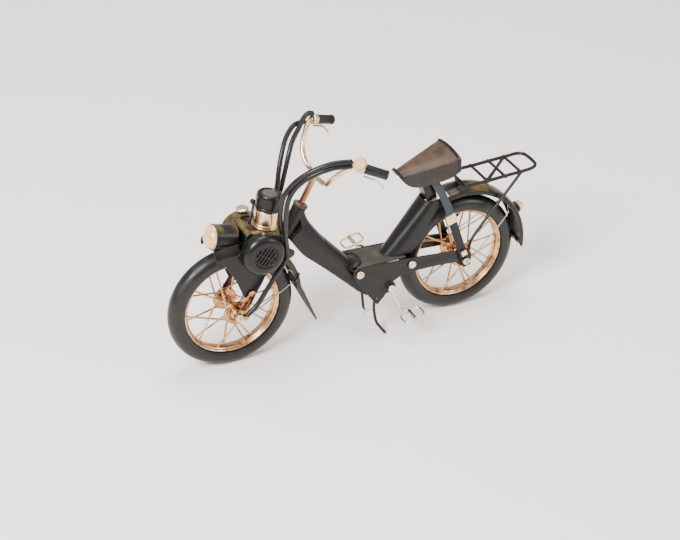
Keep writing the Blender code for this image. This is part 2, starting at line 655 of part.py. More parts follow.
def seat_stays():
    """A strap on each side from the saddle down to the rear axle, with a pale clamp."""
    for side, hand in SIDES:
        route = [(157.4, 8.4, 122.0), (160.2, 10.0, 116.6), (164.8, 12.0, 107.6),
                 (169.0, 14.0, 97.2), (170.6, 15.0, 90.0), (174.6, 15.0, 79.4),
                 (179.7, 15.0, 64.6), (183.3, 15.0, 54.0), (185.5, 15.0, 48.0), (187.3, 15.0, 42.6)]
        stay = ribbon("seat_stay_" + side, [(x, hand * y, z) for x, y, z in route], 6.2, 1.4,
                      "strap_steel")
        cut(stay, rod("drill", at(185.5, hand * 10, 48), at(185.5, hand * 20, 48), 1.9,
                      "strap_steel", 16))
        lean = Matrix.Rotation(math.radians(-20), 3, "Y")
        clamp = block("stay_clamp_" + side, at(171.2, hand * 15.0, 87.6), (8.6, 3.8, 8.6),
                      "pale_metal", lean, 0.4)
        cut(clamp, block("slot", at(171.2, hand * 15.0, 87.6), (7.6, 2.4, 20.0), "pale_metal", lean))


def rear_end():
    """Rear mudguard, its wire stay, the tail lamp and the luggage rack."""
    hub = (WHEELBASE, WHEEL_RADIUS)
    rings = []
    for step in range(13):
        share = step / 12
        angle = 103 - 108 * share
        skirt = 103 - 104 * share
        radius = 57.0 - 1.6 * share
        rings.append(guard_section(hub, radius, 4.4 - 0.6 * share, 8.8, angle, skirt, 0.55))
    tip = [at(240.4, share * half, 41.6 + abs(share) * 3.6)
           for share, half in ((-1, 3.6), (-1, 3.4), (-0.8, 3.2), (-0.45, 3.0), (0, 3.0),
                               (0.45, 3.0), (0.8, 3.2), (1, 3.4), (1, 3.6))]
    rings.append(tip)
    loft("rear_mudguard", rings, "black_paint", 0.8)

    path = [(190.4, -18.2, 50.6), (203.0, -15.2, 60.2), (216.0, -12.0, 70.4), (224.2, -8.8, 76.8),
            (226.8, -5.0, 79.4), (228.2, 0, 80.4)]
    path += [(x, -y, z) for x, y, z in reversed(path[:-1])]
    wire("rear_mudguard_stay", [at(*point) for point in path], 0.7, "bright_wire", spacing=6)

    lamp_at = Vector((hub[0] + 55.9 * math.cos(math.radians(27)), 0,
                      hub[1] + 55.9 * math.sin(math.radians(27))))
    out = Vector((math.cos(math.radians(22)), 0, math.sin(math.radians(22))))
    base = [(0, 2.8), (4.0, 2.8), (4.4, 2.4), (4.4, 0.0), (0, 0.0)]
    turned("tail_lamp_base", base, at(*(lamp_at + out * 1.5)), out, "black_paint", 20)
    lens = [(0, 3.0), (2.0, 2.7), (3.3, 1.6), (3.6, 0.0), (0, 0.0)]
    turned("tail_lamp_lens", lens, at(*(lamp_at + out * 4.6)), out, "copper_plate", 20)

    rail = 12.5
    loop = [(178.0, rail, 110.6), (205.0, rail, 111.4), (236.0, rail, 113.0), (242.6, rail - 0.6, 113.6),
            (246.0, rail - 3.0, 113.9), (246.95, rail - 6.0, 114.0)]
    path = loop + [(x, -y, z) for x, y, z in reversed(loop)]
    rack = wire("luggage_rack", [at(*point) for point in path], 1.05, "black_paint")
    bars = [((184.0, rail + 1.2, 110.8), (184.0, -rail - 1.2, 110.8)),
            ((202.0, rail + 1.2, 111.3), (202.0, -rail - 1.2, 111.3)),
            ((230.4, rail + 1.2, 112.7), (230.4, -rail - 1.2, 112.7)),
            ((203.0, -rail + 0.6, 111.3), (229.4, rail - 0.6, 112.7)),
            ((217.0, rail + 1.2, 112.0), (217.0, -rail - 1.2, 112.0))]
    for start, end in bars:
        unite(rack, rod("bar", at(*start), at(*end), 0.9, "black_paint", 6))
    for side, hand in SIDES:
        strut = [(230.2, 12.6, 112.6), (229.0, 12.6, 110.0), (215.9, 12.8, 94.0), (203.0, 13.4, 79.6),
                 (190.6, 15.0, 65.4), (186.6, 17.2, 57.0)]
        unite(rack, wire("strut", [at(x, hand * y, z) for x, y, z in strut], 0.95, "black_paint"))
    foot = block("foot", at(184.0, 0, 108.6), (3.0, 6.0, 4.0), "black_paint")
    unite(rack, foot)


# ---------------------------------------------------------------- pedals and stand
def crank_end(hand):
    """Centre of a pedal spindle, in millimetres. The near and far cranks are opposite."""
    sign = -hand
    return Vector((CRANK_CENTRE[0] + sign * CRANK_THROW * math.cos(CRANK_ANGLE), hand * CRANK_Y,
                   CRANK_CENTRE[2] + sign * CRANK_THROW * math.sin(CRANK_ANGLE)))


def cranks():
    """The bent-wire cranks on their axle, and a wire pedal on each."""
    centre = Vector(CRANK_CENTRE)
    axle_rod = rod("crank", at(centre.x, -17.0, centre.z), at(centre.x, 17.0, centre.z), 1.6,
                   "bright_wire", 16)
    for side, hand in SIDES:
        end = crank_end(hand)
        out = (end - centre)
        out.y = 0
        out.normalize()
        root = centre + Vector((0, hand * 16.4, 0))
        elbow = math.radians(180 * (hand > 0) - 71.0)
        knee = centre + Vector((18.0 * math.cos(elbow), hand * CRANK_Y, 18.0 * math.sin(elbow)))
        boss = rod("boss", at(centre.x, hand * 15.4, centre.z), at(centre.x, hand * 17.4, centre.z),
                   3.1, "bright_wire", 18)
        arm = wire("arm", [at(*root), at(*(root * 0.45 + knee * 0.55)), at(*knee), at(*end)], 0.95,
                   "bright_wire")
        pin = rod("pin", at(*(end - ALONG_Y * hand * 0.9)), at(end.x, hand * 36.0, end.z), 0.75,
                  "bright_wire", 10)
        unite(axle_rod, boss, arm, pin)

        sleeve = [(1.05, 5.6), (1.75, 5.6), (1.75, -5.6), (1.05, -5.6)]
        middle = 29.6
        pedal = turned("pedal_" + side, sleeve, at(end.x, hand * middle, end.z), ALONG_Y,
                       "bright_wire", 12, hollow=True)
        corner = []
        for along, across in ((-8.2, -3.8), (-6.2, -5.8), (6.2, -5.8), (8.2, -3.8), (8.2, 3.8),
                              (6.2, 5.8), (-6.2, 5.8), (-8.2, 3.8)):
            corner.append(at(end.x + along * math.cos(PEDAL_TILT), hand * (middle + across),
                             end.z + along * math.sin(PEDAL_TILT)))
        frame = wire("frame", corner, 0.75, "bright_wire", closed=True)
        unite(pedal, frame)
        bore = rod("bore", at(end.x, hand * 20, end.z), at(end.x, hand * 40, end.z), 1.05,
                   "bright_wire", 12)
        cut(pedal, bore)


def stand():
    """A bent-wire centre stand that swings back on its cross pin."""
    half = [(111.5, 9.4, 30.5), (112.2, 9.9, 20.0), (113.8, 10.9, 9.4), (116.0, 14.0, 5.0),
            (118.8, 18.5, 1.15)]
    path = [(x, -y, z) for x, y, z in reversed(half)] + half
    legs = wire("stand", [at(*point) for point in path], 1.1, "black_paint")
    pin = rod("pin", at(111.5, -13.6, 30.5), at(111.5, 13.6, 30.5), 1.15, "black_paint", 12)
    unite(legs, pin)


# ---------------------------------------------------------------- build
clear_scene()
parts = new_collection("pedal_moped_model")
finishes = make_finishes()

wheel("front", 0.0, 13.2)
wheel("rear", WHEELBASE, 11.8)
axle("front_axle", 0.0, 20.4, 17.4)
axle("rear_axle", WHEELBASE, 19.2, 16.2)
front_fork()
fork_links()
engine()
headlamp()
front_mudguard()
handlebar()
cables()
main_beam()
side_plates()
seat_pillar()
saddle()
seat_stays()
rear_end()
cranks()
stand()
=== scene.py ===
import json
import math

import bmesh
import bpy
import numpy as np
from mathutils import Matrix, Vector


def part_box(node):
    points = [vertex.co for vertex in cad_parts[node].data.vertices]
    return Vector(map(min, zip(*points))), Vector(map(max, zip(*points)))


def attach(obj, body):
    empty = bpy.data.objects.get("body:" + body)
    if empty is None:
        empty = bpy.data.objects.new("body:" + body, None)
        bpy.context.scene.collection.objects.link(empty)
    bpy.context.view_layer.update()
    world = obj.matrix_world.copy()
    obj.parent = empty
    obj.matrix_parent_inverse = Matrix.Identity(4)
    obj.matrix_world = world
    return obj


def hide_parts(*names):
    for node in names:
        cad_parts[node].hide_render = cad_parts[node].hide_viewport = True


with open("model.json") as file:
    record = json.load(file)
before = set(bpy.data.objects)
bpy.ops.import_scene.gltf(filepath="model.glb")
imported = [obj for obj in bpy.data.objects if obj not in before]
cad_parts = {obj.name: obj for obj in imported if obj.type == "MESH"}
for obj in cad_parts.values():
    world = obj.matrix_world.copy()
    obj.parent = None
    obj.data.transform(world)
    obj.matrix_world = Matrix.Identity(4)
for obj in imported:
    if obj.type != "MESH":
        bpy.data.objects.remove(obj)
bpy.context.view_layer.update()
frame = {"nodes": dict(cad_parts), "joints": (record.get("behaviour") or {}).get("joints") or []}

mm = 0.001
print("frame loaded,", len(frame["nodes"]), "nodes")


# places are in millimetres: x behind the front axle, y to the rider's right, z above the ground
def middleOf(node):
    low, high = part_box(node)
    return np.array(low + high) / 2 / mm


axleX, axleZ = middleOf("front_axle")[0], middleOf("front_axle")[2]
rearX = middleOf("rear_axle")[0] - axleX
steering = next(joint for joint in frame["joints"] if joint["name"] == "steering_turn")
steerUp = np.array(steering["axis"])
steerPoint = np.array(steering["pos_m"]) / mm - (axleX, 0, 0)
alongY = np.array((0.0, 1.0, 0.0))
alongZ = np.array((0.0, 0.0, 1.0))
sides = (("left", -1), ("right", 1))


def steerAt(height):
    return steerPoint + steerUp * (height - steerPoint[2]) / steerUp[2]


def unit(vector):
    vector = np.asarray(vector, float)
    return vector / np.linalg.norm(vector, axis=-1, keepdims=True)


# numpy surfaces: each shape is (points in mm, list of face index arrays)
def surface(grid, closeU=False, closeV=False, capU=False):
    # grid[u, v] is a point; neighbours are joined by quads, wrapping where a direction is closed,
    # and capU shuts the first and the last row with one flat face each
    countU, countV = grid.shape[:2]
    index = np.arange(countU * countV).reshape(countU, countV)
    if closeU:
        index = np.vstack((index, index[:1]))
    if closeV:
        index = np.hstack((index, index[:, :1]))
    quads = np.stack((index[:-1, :-1], index[:-1, 1:], index[1:, 1:], index[1:, :-1]), -1)
    faces = [quads.reshape(-1, 4)]
    if capU:
        faces += [index[:1, :countV], index[-1:, :countV][:, ::-1]]
    return grid.reshape(-1, 3), faces


def rounded(outline, reach, closed=False, steps=5):
    # each corner p becomes the parabola (1-t)^2 a + 2t(1-t) p + t^2 b, where a and b lie
    # on the two sides that meet there, reach away from it
    p = np.asarray(outline, float)
    toward = np.roll(p, 1, 0) - p
    onward = np.roll(p, -1, 0) - p
    lengthA = np.linalg.norm(toward, axis=1, keepdims=True)
    lengthB = np.linalg.norm(onward, axis=1, keepdims=True)
    a = p + toward / lengthA * np.minimum(reach, 0.48 * np.minimum(lengthA, lengthB))
    b = p + onward / lengthB * np.minimum(reach, 0.48 * np.minimum(lengthA, lengthB))
    t = np.linspace(0, 1, steps)[None, :, None]
    curve = (1 - t) ** 2 * a[:, None] + 2 * t * (1 - t) * p[:, None] + t ** 2 * b[:, None]
    if closed:
        return curve.reshape(-1, p.shape[1])
    return np.vstack((p[:1], curve[1:-1].reshape(-1, p.shape[1]), p[-1:]))


def curveThrough(points, perSpan=8, closed=False):
    # Catmull-Rom: on each span a cubic whose end slopes are half the chord of the neighbours
    p = np.asarray(points, float)
    if closed:
        knots = np.concatenate((p[-1:], p, p[:2]))
    else:
        knots = np.concatenate((2 * p[:1] - p[1:2], p, 2 * p[-1:] - p[-2:-1]))
    t = np.linspace(0, 1, perSpan, endpoint=False).reshape((1, -1) + (1,) * (p.ndim - 1))
    a, b, c, d = (knots[k:len(knots) - 3 + k, None] for k in range(4))
    spans = 0.5 * (2 * b + (c - a) * t + (2 * a - 5 * b + 4 * c - d) * t ** 2
        + (3 * b - a - 3 * c + d) * t ** 3)
    spans = spans.reshape((-1,) + p.shape[1:])
    return spans if closed else np.concatenate((spans, p[-1:]))


def sidesOf(axis):
    # two unit vectors square to an axis
    axis = unit(axis)
    first = unit(np.cross(axis, alongY if abs(axis[1]) < 0.9 else alongZ))
    return axis, first, np.cross(axis, first)


def revolve(profile, centre, axis, steps=96, closed=False):
    # a profile of (radius, height) turned about an axis:
    # centre + height * axis + radius * (cos t * sideA + sin t * sideB)
    axis, sideA, sideB = sidesOf(axis)
    profile = np.asarray(profile, float)
    t = np.linspace(0, 2 * np.pi, steps, endpoint=False)[:, None, None]
    ring = np.cos(t) * sideA + np.sin(t) * sideB
    grid = np.asarray(centre, float) + profile[None, :, 1:] * axis + profile[None, :, :1] * ring
    return surface(grid, closeU=True, closeV=closed)


def turned(profile, reach, centre, axis, steps=48, closed=False, fine=5):
    return revolve(rounded(profile, reach, closed, fine), centre, axis, steps, closed)


def circle(radius, count=16):
    t = np.linspace(0, 2 * np.pi, count, endpoint=False)
    return np.stack((radius * np.cos(t), radius * np.sin(t)), -1)


def roundedBar(width, thickness, corner):
    w, h = width / 2, thickness / 2
    return rounded(((w, h), (-w, h), (-w, -h), (w, -h)), corner, True, 4)


def carry(path, section, side, size=1.0, closed=False):
    # a section of (s, n) points carried along a path: path + s * side + n * normal, where side
    # is squared up to the path's direction and normal is direction x side
    path = np.asarray(path, float)
    if closed:
        direction = unit(np.roll(path, -1, 0) - np.roll(path, 1, 0))
    else:
        direction = unit(np.gradient(path, axis=0))
    side = np.broadcast_to(np.asarray(side, float), path.shape)
    side = unit(side - (side * direction).sum(1, keepdims=True) * direction)
    normal = np.cross(direction, side)
    size = np.broadcast_to(size, (len(path),))[:, None, None]
    section = np.asarray(section, float)
    grid = (path[:, None] + section[None, :, :1] * side[:, None] * size
        + section[None, :, 1:] * normal[:, None] * size)
    return surface(grid, closeU=closed, closeV=True, capU=not closed)


def roundEnds(path, radius):
    # path and sizes for a rod whose ends are half balls: near each end the size is
    # sqrt(1 - s^2), s being the distance into the last radius of the rod
    path = np.asarray(path, float)
    s = np.sin(np.linspace(0.1, 0.5, 5) * np.pi)
    first, last = unit(path[0] - path[1]), unit(path[-1] - path[-2])
    head = path[0] + first * radius * s[::-1, None]
    tail = path[-1] + last * radius * s[:, None]
    ends = np.sqrt(np.maximum(0.02, 1 - s ** 2))
    return (np.vstack((head, path, tail)), np.concatenate((ends[::-1], np.ones(len(path)), ends)))


def rodBetween(start, end, radius, count=16):
    start, end = np.asarray(start, float), np.asarray(end, float)
    side = sidesOf(end - start)[1]
    return carry(np.stack((start, end)), circle(radius, count), side)


def bars(starts, ends, radius, count=10):
    # many straight round bars at once: start + share * (end - start) + radius * ring
    along = unit(ends - starts)
    sideA = unit(np.cross(along, alongY))
    sideB = np.cross(along, sideA)
    t = np.linspace(0, 2 * np.pi, count, endpoint=False)[None, None, :, None]
    ring = radius * (np.cos(t) * sideA[:, None, None] + np.sin(t) * sideB[:, None, None])
    grid = np.stack((starts, ends), 1)[:, :, None] + ring
    index = np.arange(grid.size // 3).reshape(len(starts), 2, count)
    nextOne = np.roll(index, -1, 2)
    quads = np.stack((index[:, 0], nextOne[:, 0], nextOne[:, 1], index[:, 1]), -1)
    return grid.reshape(-1, 3), [quads.reshape(-1, 4), index[:, 0], index[:, 1]]


def slab(outline, low, high, edge, origin=(0, 0, 0), axes=((1, 0, 0), (0, 0, 1), (0, 1, 0))):
    # an outline of (a, b) points pushed from low to high along c, its rims drawn in along a
    # quarter circle: at height edge * (1 - cos q) the outline is inset by edge * (1 - sin q)
    p = np.asarray(outline, float)
    tangent = unit(np.roll(p, -1, 0) - np.roll(p, 1, 0))
    area = (p[:, 0] * np.roll(p[:, 1], -1) - np.roll(p[:, 0], -1) * p[:, 1]).sum()
    inward = np.stack((-tangent[:, 1], tangent[:, 0]), -1) * np.sign(area)
    q = np.linspace(0, np.pi / 2, 5)
    inset = np.concatenate((edge * (1 - np.sin(q)), (edge * (1 - np.sin(q)))[::-1]))
    height = np.concatenate((low + edge * (1 - np.cos(q)), (high - edge * (1 - np.cos(q)))[::-1]))
    flat = p[None] + inset[:, None, None] * inward[None]
    axisA, axisB, axisC = (np.asarray(axis, float) for axis in axes)
    grid = (np.asarray(origin, float) + flat[..., :1] * axisA + flat[..., 1:] * axisB
        + height[:, None, None] * axisC)
    return surface(grid, closeV=True, capU=True)


def arc(centre, radius, start, end, count=16):
    t = np.radians(np.linspace(start, end, count))
    return np.stack((centre[0] + radius * np.cos(t), centre[1] + radius * np.sin(t)), -1)


def turnedBox(centre, size, lean, edge):
    # a box with rounded rims, leaning about the cross axis; lean in degrees towards the tail
    t = math.radians(lean)
    axes = ((math.cos(t), 0, -math.sin(t)), (math.sin(t), 0, math.cos(t)), (0, 1, 0))
    w, h = size[0] / 2, size[2] / 2
    outline = rounded(((w, h), (-w, h), (-w, -h), (w, -h)), edge * 1.4, True)
    return slab(outline, -size[1] / 2, size[1] / 2, edge, centre, axes)


def flatPlate(outline, holes, low, high, edge):
    # a sheet with holes: a filled flat curve standing in the XZ plane, with its rims rounded
    curve = bpy.data.curves.new("plate", "CURVE")
    curve.dimensions = "2D"
    curve.fill_mode = "BOTH"
    curve.extrude = (high - low) / 2 - edge
    curve.bevel_depth = edge
    curve.bevel_resolution = 2
    curve.offset = -edge
    for loop in [np.asarray(outline)] + [np.asarray(hole) for hole in holes]:
        spline = curve.splines.new("POLY")
        spline.points.add(len(loop) - 1)
        flat = np.column_stack((loop, np.zeros(len(loop)), np.ones(len(loop))))
        spline.points.foreach_set("co", flat.ravel())
        spline.use_cyclic_u = True
    holder = bpy.data.objects.new("plate", curve)
    mesh = bpy.data.meshes.new_from_object(holder)
    points = np.zeros(len(mesh.vertices) * 3)
    mesh.vertices.foreach_get("co", points)
    points = points.reshape(-1, 3)
    standing = np.stack((points[:, 0], (low + high) / 2 - points[:, 2], points[:, 1]), -1)
    faces = [np.array([tuple(face.vertices)]) for face in mesh.polygons]
    bpy.data.objects.remove(holder)
    bpy.data.meshes.remove(mesh)
    bpy.data.curves.remove(curve)
    return standing, faces


def makePiece(name, shapes, finish, body, replaces=(), sharp=38):
    # joins shapes into one mesh in metres, merges doubled points, turns its faces outwards
    starts = np.cumsum([0] + [len(points) for points, _ in shapes])
    points = np.concatenate([points for points, _ in shapes]) * mm + (axleX * mm, 0, 0)
    faces = []
    for start, (_, parts) in zip(starts, shapes):
        for part in parts:
            faces += (np.asarray(part) + start).tolist()
    mesh = bpy.data.meshes.new(name)
    mesh.from_pydata(points, [], faces)
    work = bmesh.new()
    work.from_mesh(mesh)
    bmesh.ops.remove_doubles(work, verts=work.verts, dist=1e-6)
    bmesh.ops.recalc_face_normals(work, faces=work.faces)
    work.to_mesh(mesh)
    work.free()
    mesh.shade_smooth()
    mesh.set_sharp_from_angle(angle=math.radians(sharp))
    mesh.materials.append(finish)
    piece = bpy.data.objects.new(name, mesh)
    bpy.context.scene.collection.objects.link(piece)
    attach(piece, body)
    if replaces:
        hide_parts(*replaces)


# finishes
def srgb(code):
    values = np.array([int(code[k:k + 2], 16) for k in (1, 3, 5)]) / 255
    linear = np.where(values <= 0.04045, values / 12.92, ((values + 0.055) / 1.055) ** 2.4)
    return (*linear, 1.0)


def addNode(tree, kind, links=None, **settings):
    node = tree.nodes.new(kind)
    for key, value in settings.items():
        setattr(node, key, value)
    for key, value in (links or {}).items():
        if isinstance(value, bpy.types.NodeSocket):
            tree.links.new(value, node.inputs[key])
        else:
            node.inputs[key].default_value = value
    return node


def startMaterial(name, **constants):
    material = bpy.data.materials.new(name)
    material.use_nodes = True
    tree = material.node_tree
    shader = tree.nodes["Principled BSDF"]
    for key, value in constants.items():
        shader.inputs[key].default_value = value
    coords = addNode(tree, "ShaderNodeTexCoord")
    return material, tree, shader, coords


def dress(tree, shader, colour, rough, relief, strength, depth):
    # the colour, the roughness and a fine relief, depth in millimetres
    tree.links.new(colour, shader.inputs["Base Color"])
    tree.links.new(rough, shader.inputs["Roughness"])
    bump = addNode(tree, "ShaderNodeBump", {"Height": relief, "Strength": strength,
        "Distance": depth * mm})
    tree.links.new(bump.outputs["Normal"], shader.inputs["Normal"])


def noiseOf(tree, coords, size, detail=4.0, roughness=0.55):
    # noise whose patches are about size millimetres across
    return addNode(tree, "ShaderNodeTexNoise", {"Vector": coords.outputs["Object"],
        "Scale": 1 / (size * mm), "Detail": detail, "Roughness": roughness})


def spread(tree, value, low, high, newLow=0.0, newHigh=1.0):
    return addNode(tree, "ShaderNodeMapRange", {"Value": value, "From Min": low, "From Max": high,
        "To Min": newLow, "To Max": newHigh}, interpolation_type="SMOOTHSTEP").outputs["Result"]


def times(tree, first, second):
    return addNode(tree, "ShaderNodeMath", {0: first, 1: second}, operation="MULTIPLY").outputs[0]


def mixed(tree, share, first, second):
    return addNode(tree, "ShaderNodeMix", {"Factor": share, "A": first, "B": second},
        data_type="RGBA").outputs["Result"]


print("helpers ready")


# sprayed satin enamel on tin: near black, with blotches of a bronze colour where faces look up,
# partly the paint's own bronzing and partly painted top light, and bronze wear along the edges
def satinEnamel(name, base="#0d0d0e", patinaAndTopLight="#4a3d22", upward=0.5, worn=0.45, rough=0.31):
    material, tree, shader, coords = startMaterial(name, **{"Specular IOR Level": 0.3})
    blotch = noiseOf(tree, coords, 14).outputs["Fac"]
    fine = noiseOf(tree, coords, 1.1, 6.0, 0.65).outputs["Fac"]
    facing = addNode(tree, "ShaderNodeSeparateXYZ", {"Vector": coords.outputs["Normal"]})
    up = spread(tree, facing.outputs["Z"], 0.35, 0.98)
    # the bronze blotches go only on faces that look up: partly the paint's own bronzing, partly
    # painted top light
    topLightAndRub = times(tree, up, spread(tree, blotch, 0.4, 0.64, 0.05, upward))
    geometry = addNode(tree, "ShaderNodeNewGeometry")
    soft = addNode(tree, "ShaderNodeBevel", {"Radius": 0.55 * mm}, samples=4)
    likeness = addNode(tree, "ShaderNodeVectorMath",
        {0: soft.outputs["Normal"], 1: geometry.outputs["Normal"]}, operation="DOT_PRODUCT")
    edge = spread(tree, likeness.outputs["Value"], 0.985, 0.86, 0.0, worn)
    edge = times(tree, edge, spread(tree, fine, 0.35, 0.6))
    colour = mixed(tree, topLightAndRub, srgb(base), srgb(patinaAndTopLight))
    colour = mixed(tree, edge, colour, srgb("#7a6a4e"))
    # orange peel of the sprayed coat, about 0.6 mm from crest to crest
    peel = noiseOf(tree, coords, 0.6, 2.0).outputs["Fac"]
    dress(tree, shader, colour, spread(tree, fine, 0.25, 0.75, rough - 0.05, rough + 0.08), peel,
        0.25, 0.03)
    return material


# natural rubber from a mould: dull, faintly dusty, with a slight mould grain
def mouldedRubber(name, base="#121213", dust="#24211d", rough=0.38):
    material, tree, shader, coords = startMaterial(name, **{"Specular IOR Level": 0.36})
    blotch = noiseOf(tree, coords, 9, 5).outputs["Fac"]
    fine = noiseOf(tree, coords, 0.5, 3).outputs["Fac"]
    colour = mixed(tree, spread(tree, blotch, 0.42, 0.78, 0.0, 0.6), srgb(base), srgb(dust))
    dress(tree, shader, colour, spread(tree, blotch, 0.3, 0.7, rough - 0.08, rough + 0.1), fine,
        0.3, 0.03)
    return material


# plated steel or brass: bright metal whose tint drifts, darker in the blotches, faint rubbing
# lines, and where asked a darker, redder painted shade low down
def platedMetal(name, bright, dull, rough=0.26, patch=5.0, share=0.7, lowPaintedShade=None):
    material, tree, shader, coords = startMaterial(name, Metallic=1.0)
    blotch = noiseOf(tree, coords, patch, 5).outputs["Fac"]
    fine = noiseOf(tree, coords, 0.4, 4).outputs["Fac"]
    colour = mixed(tree, spread(tree, blotch, 0.42, 0.72, 0.0, share), srgb(bright), srgb(dull))
    if lowPaintedShade:
        # a darker, redder painted shade low down, gone 150 mm above the ground
        place = addNode(tree, "ShaderNodeSeparateXYZ", {"Vector": coords.outputs["Object"]})
        height = spread(tree, place.outputs["Z"], 128 * mm, 150 * mm)
        colour = mixed(tree, height, srgb(lowPaintedShade), colour)
    dress(tree, shader, colour, spread(tree, fine, 0.3, 0.7, rough - 0.07, rough + 0.12), fine, 0.2,
        0.02)
    return material


# antiqued paint rubbed over a dark ground, in imitation of leather: brown on upward faces, and on
# the side faces a darker brown-grey that is painted shade
def antiquedPaint(name):
    material, tree, shader, coords = startMaterial(name, **{"Specular IOR Level": 0.32})
    blotch = noiseOf(tree, coords, 16, 6, 0.6).outputs["Fac"]
    grain = addNode(tree, "ShaderNodeTexVoronoi", {"Vector": coords.outputs["Object"],
        "Scale": 1 / (0.8 * mm)}, feature="SMOOTH_F1").outputs["Distance"]
    facing = addNode(tree, "ShaderNodeSeparateXYZ", {"Vector": coords.outputs["Normal"]})
    up = spread(tree, facing.outputs["Z"], 0.2, 0.8)
    top = mixed(tree, spread(tree, blotch, 0.35, 0.68), srgb("#33271e"), srgb("#523d2c"))
    # the side flaps get the top's brown darkened: painted shade on faces that do not look up
    shadedFlap = mixed(tree, spread(tree, blotch, 0.35, 0.68), srgb("#1d1a1c"), srgb("#352a20"))
    dress(tree, shader, mixed(tree, up, shadedFlap, top), spread(tree, blotch, 0.3, 0.7, 0.38, 0.5),
        grain, 0.16, 0.04)
    return material


# pearl enamel over a bright ground, as on the lamp: cream with warm flecks
def pearlEnamel(name):
    material, tree, shader, coords = startMaterial(name, Roughness=0.3, Metallic=0.15,
        **{"Coat Weight": 0.4, "Coat Roughness": 0.15})
    blotch = noiseOf(tree, coords, 3.2, 5, 0.65).outputs["Fac"]
    tree.links.new(mixed(tree, spread(tree, blotch, 0.5, 0.68, 0.0, 0.75), srgb("#e8ba8b"),
        srgb("#b27c48")), shader.inputs["Base Color"])
    bump = addNode(tree, "ShaderNodeBump", {"Height": blotch, "Strength": 0.1,
        "Distance": 0.05 * mm})
    tree.links.new(bump.outputs["Normal"], shader.inputs["Normal"])
    return material


# PVC sleeving over wire: semi-gloss black with fine drawing lines
def drawnSleeve(name):
    material, tree, shader, coords = startMaterial(name, **{"Specular IOR Level": 0.34})
    blotch = noiseOf(tree, coords, 6, 4).outputs["Fac"]
    fine = noiseOf(tree, coords, 0.5, 3).outputs["Fac"]
    colour = mixed(tree, spread(tree, blotch, 0.4, 0.7, 0.0, 0.6), srgb("#0d0d0e"), srgb("#1d1c1c"))
    dress(tree, shader, colour, spread(tree, fine, 0.3, 0.7, 0.28, 0.42), fine, 0.2, 0.02)
    return material


blackEnamel = satinEnamel("satinBlackEnamel")
bronzedEnamel = satinEnamel("bronzedBlackEnamel", patinaAndTopLight="#65542c", upward=0.9, worn=0.6)
tailBronze = satinEnamel("rubbedBronzePaint", base="#2b2519", patinaAndTopLight="#75653f", upward=0.9,
    worn=0.9)
plainEnamel = satinEnamel("plainBlackEnamel", base="#0c0c0d", upward=0.1, worn=0.25, rough=0.29)
# the strap's lighter grey on faces that look up is a painted highlight
strapEnamel = satinEnamel("slateGreyEnamel", base="#2f373d", patinaAndTopLight="#56616a", upward=0.8, worn=0.3,
    rough=0.32)
discEnamel = satinEnamel("dullHeadDisc", base="#4b463f", patinaAndTopLight="#5c554b", upward=0.6, rough=0.5)
headBronze = satinEnamel("antiquedBronzePaint", base="#3b2f22", patinaAndTopLight="#6d5a3a", upward=0.7,
    worn=0.9, rough=0.36)
tyreRubber = mouldedRubber("mouldedTyreRubber")
gripRubber = mouldedRubber("ribbedGripRubber", base="#101010", dust="#1d1c1c", rough=0.32)
copperPlate = platedMetal("copperPlatedSteel", "#dcb48a", "#84562f", rough=0.24, share=0.85)
linkCopper = platedMetal("darkenedCopperPlate", "#bd8e65", "#4d2d19", share=0.95)
hubCopper = platedMetal("burnishedHubCopper", "#c8976a", "#5f3a22", rough=0.2, patch=3.5, share=0.8)
# the far fork link's copper is painted dark: painted shade, as that side lies in shadow
farLinkInShadeCopper = platedMetal("farLinkCopperPaintedShade", "#46342a", "#15100c", rough=0.34, share=0.9)
# the bar and stem turn darker and redder low down: painted shade
roseTube = platedMetal("champagneCopperTube", "#ead0b0", "#b5835c", rough=0.22, share=0.7,
    lowPaintedShade="#93624a")
barrelCopper = platedMetal("paleCopperCylinder", "#ebc8a0", "#b5835c", rough=0.24, share=0.7)
paleBrass = platedMetal("paleGildedBrass", "#f0dcbc", "#bd9c70", rough=0.28, patch=3.0)
silverWire = platedMetal("brightTinnedWire", "#e6e5e2", "#b3aca4", rough=0.18, patch=4.0)
brassWire = platedMetal("goldenBrassWire", "#e6d2ac", "#a98c62", rough=0.24)
dullWire = platedMetal("darkenedSteelWire", "#a9a49c", "#5d554c", rough=0.3)
saddlePaint = antiquedPaint("antiquedSaddlePaint")
lampPearl = pearlEnamel("pearlLampEnamel")
cableSleeve = drawnSleeve("blackCableSleeve")
print("finishes ready")


# wheels
wheelSize = {"radius": 48.0, "tyre": 7.0, "seat": 37.2, "rimHalf": 4.9, "well": 33.4,
    "spokesASide": 10, "spoke": 0.72}


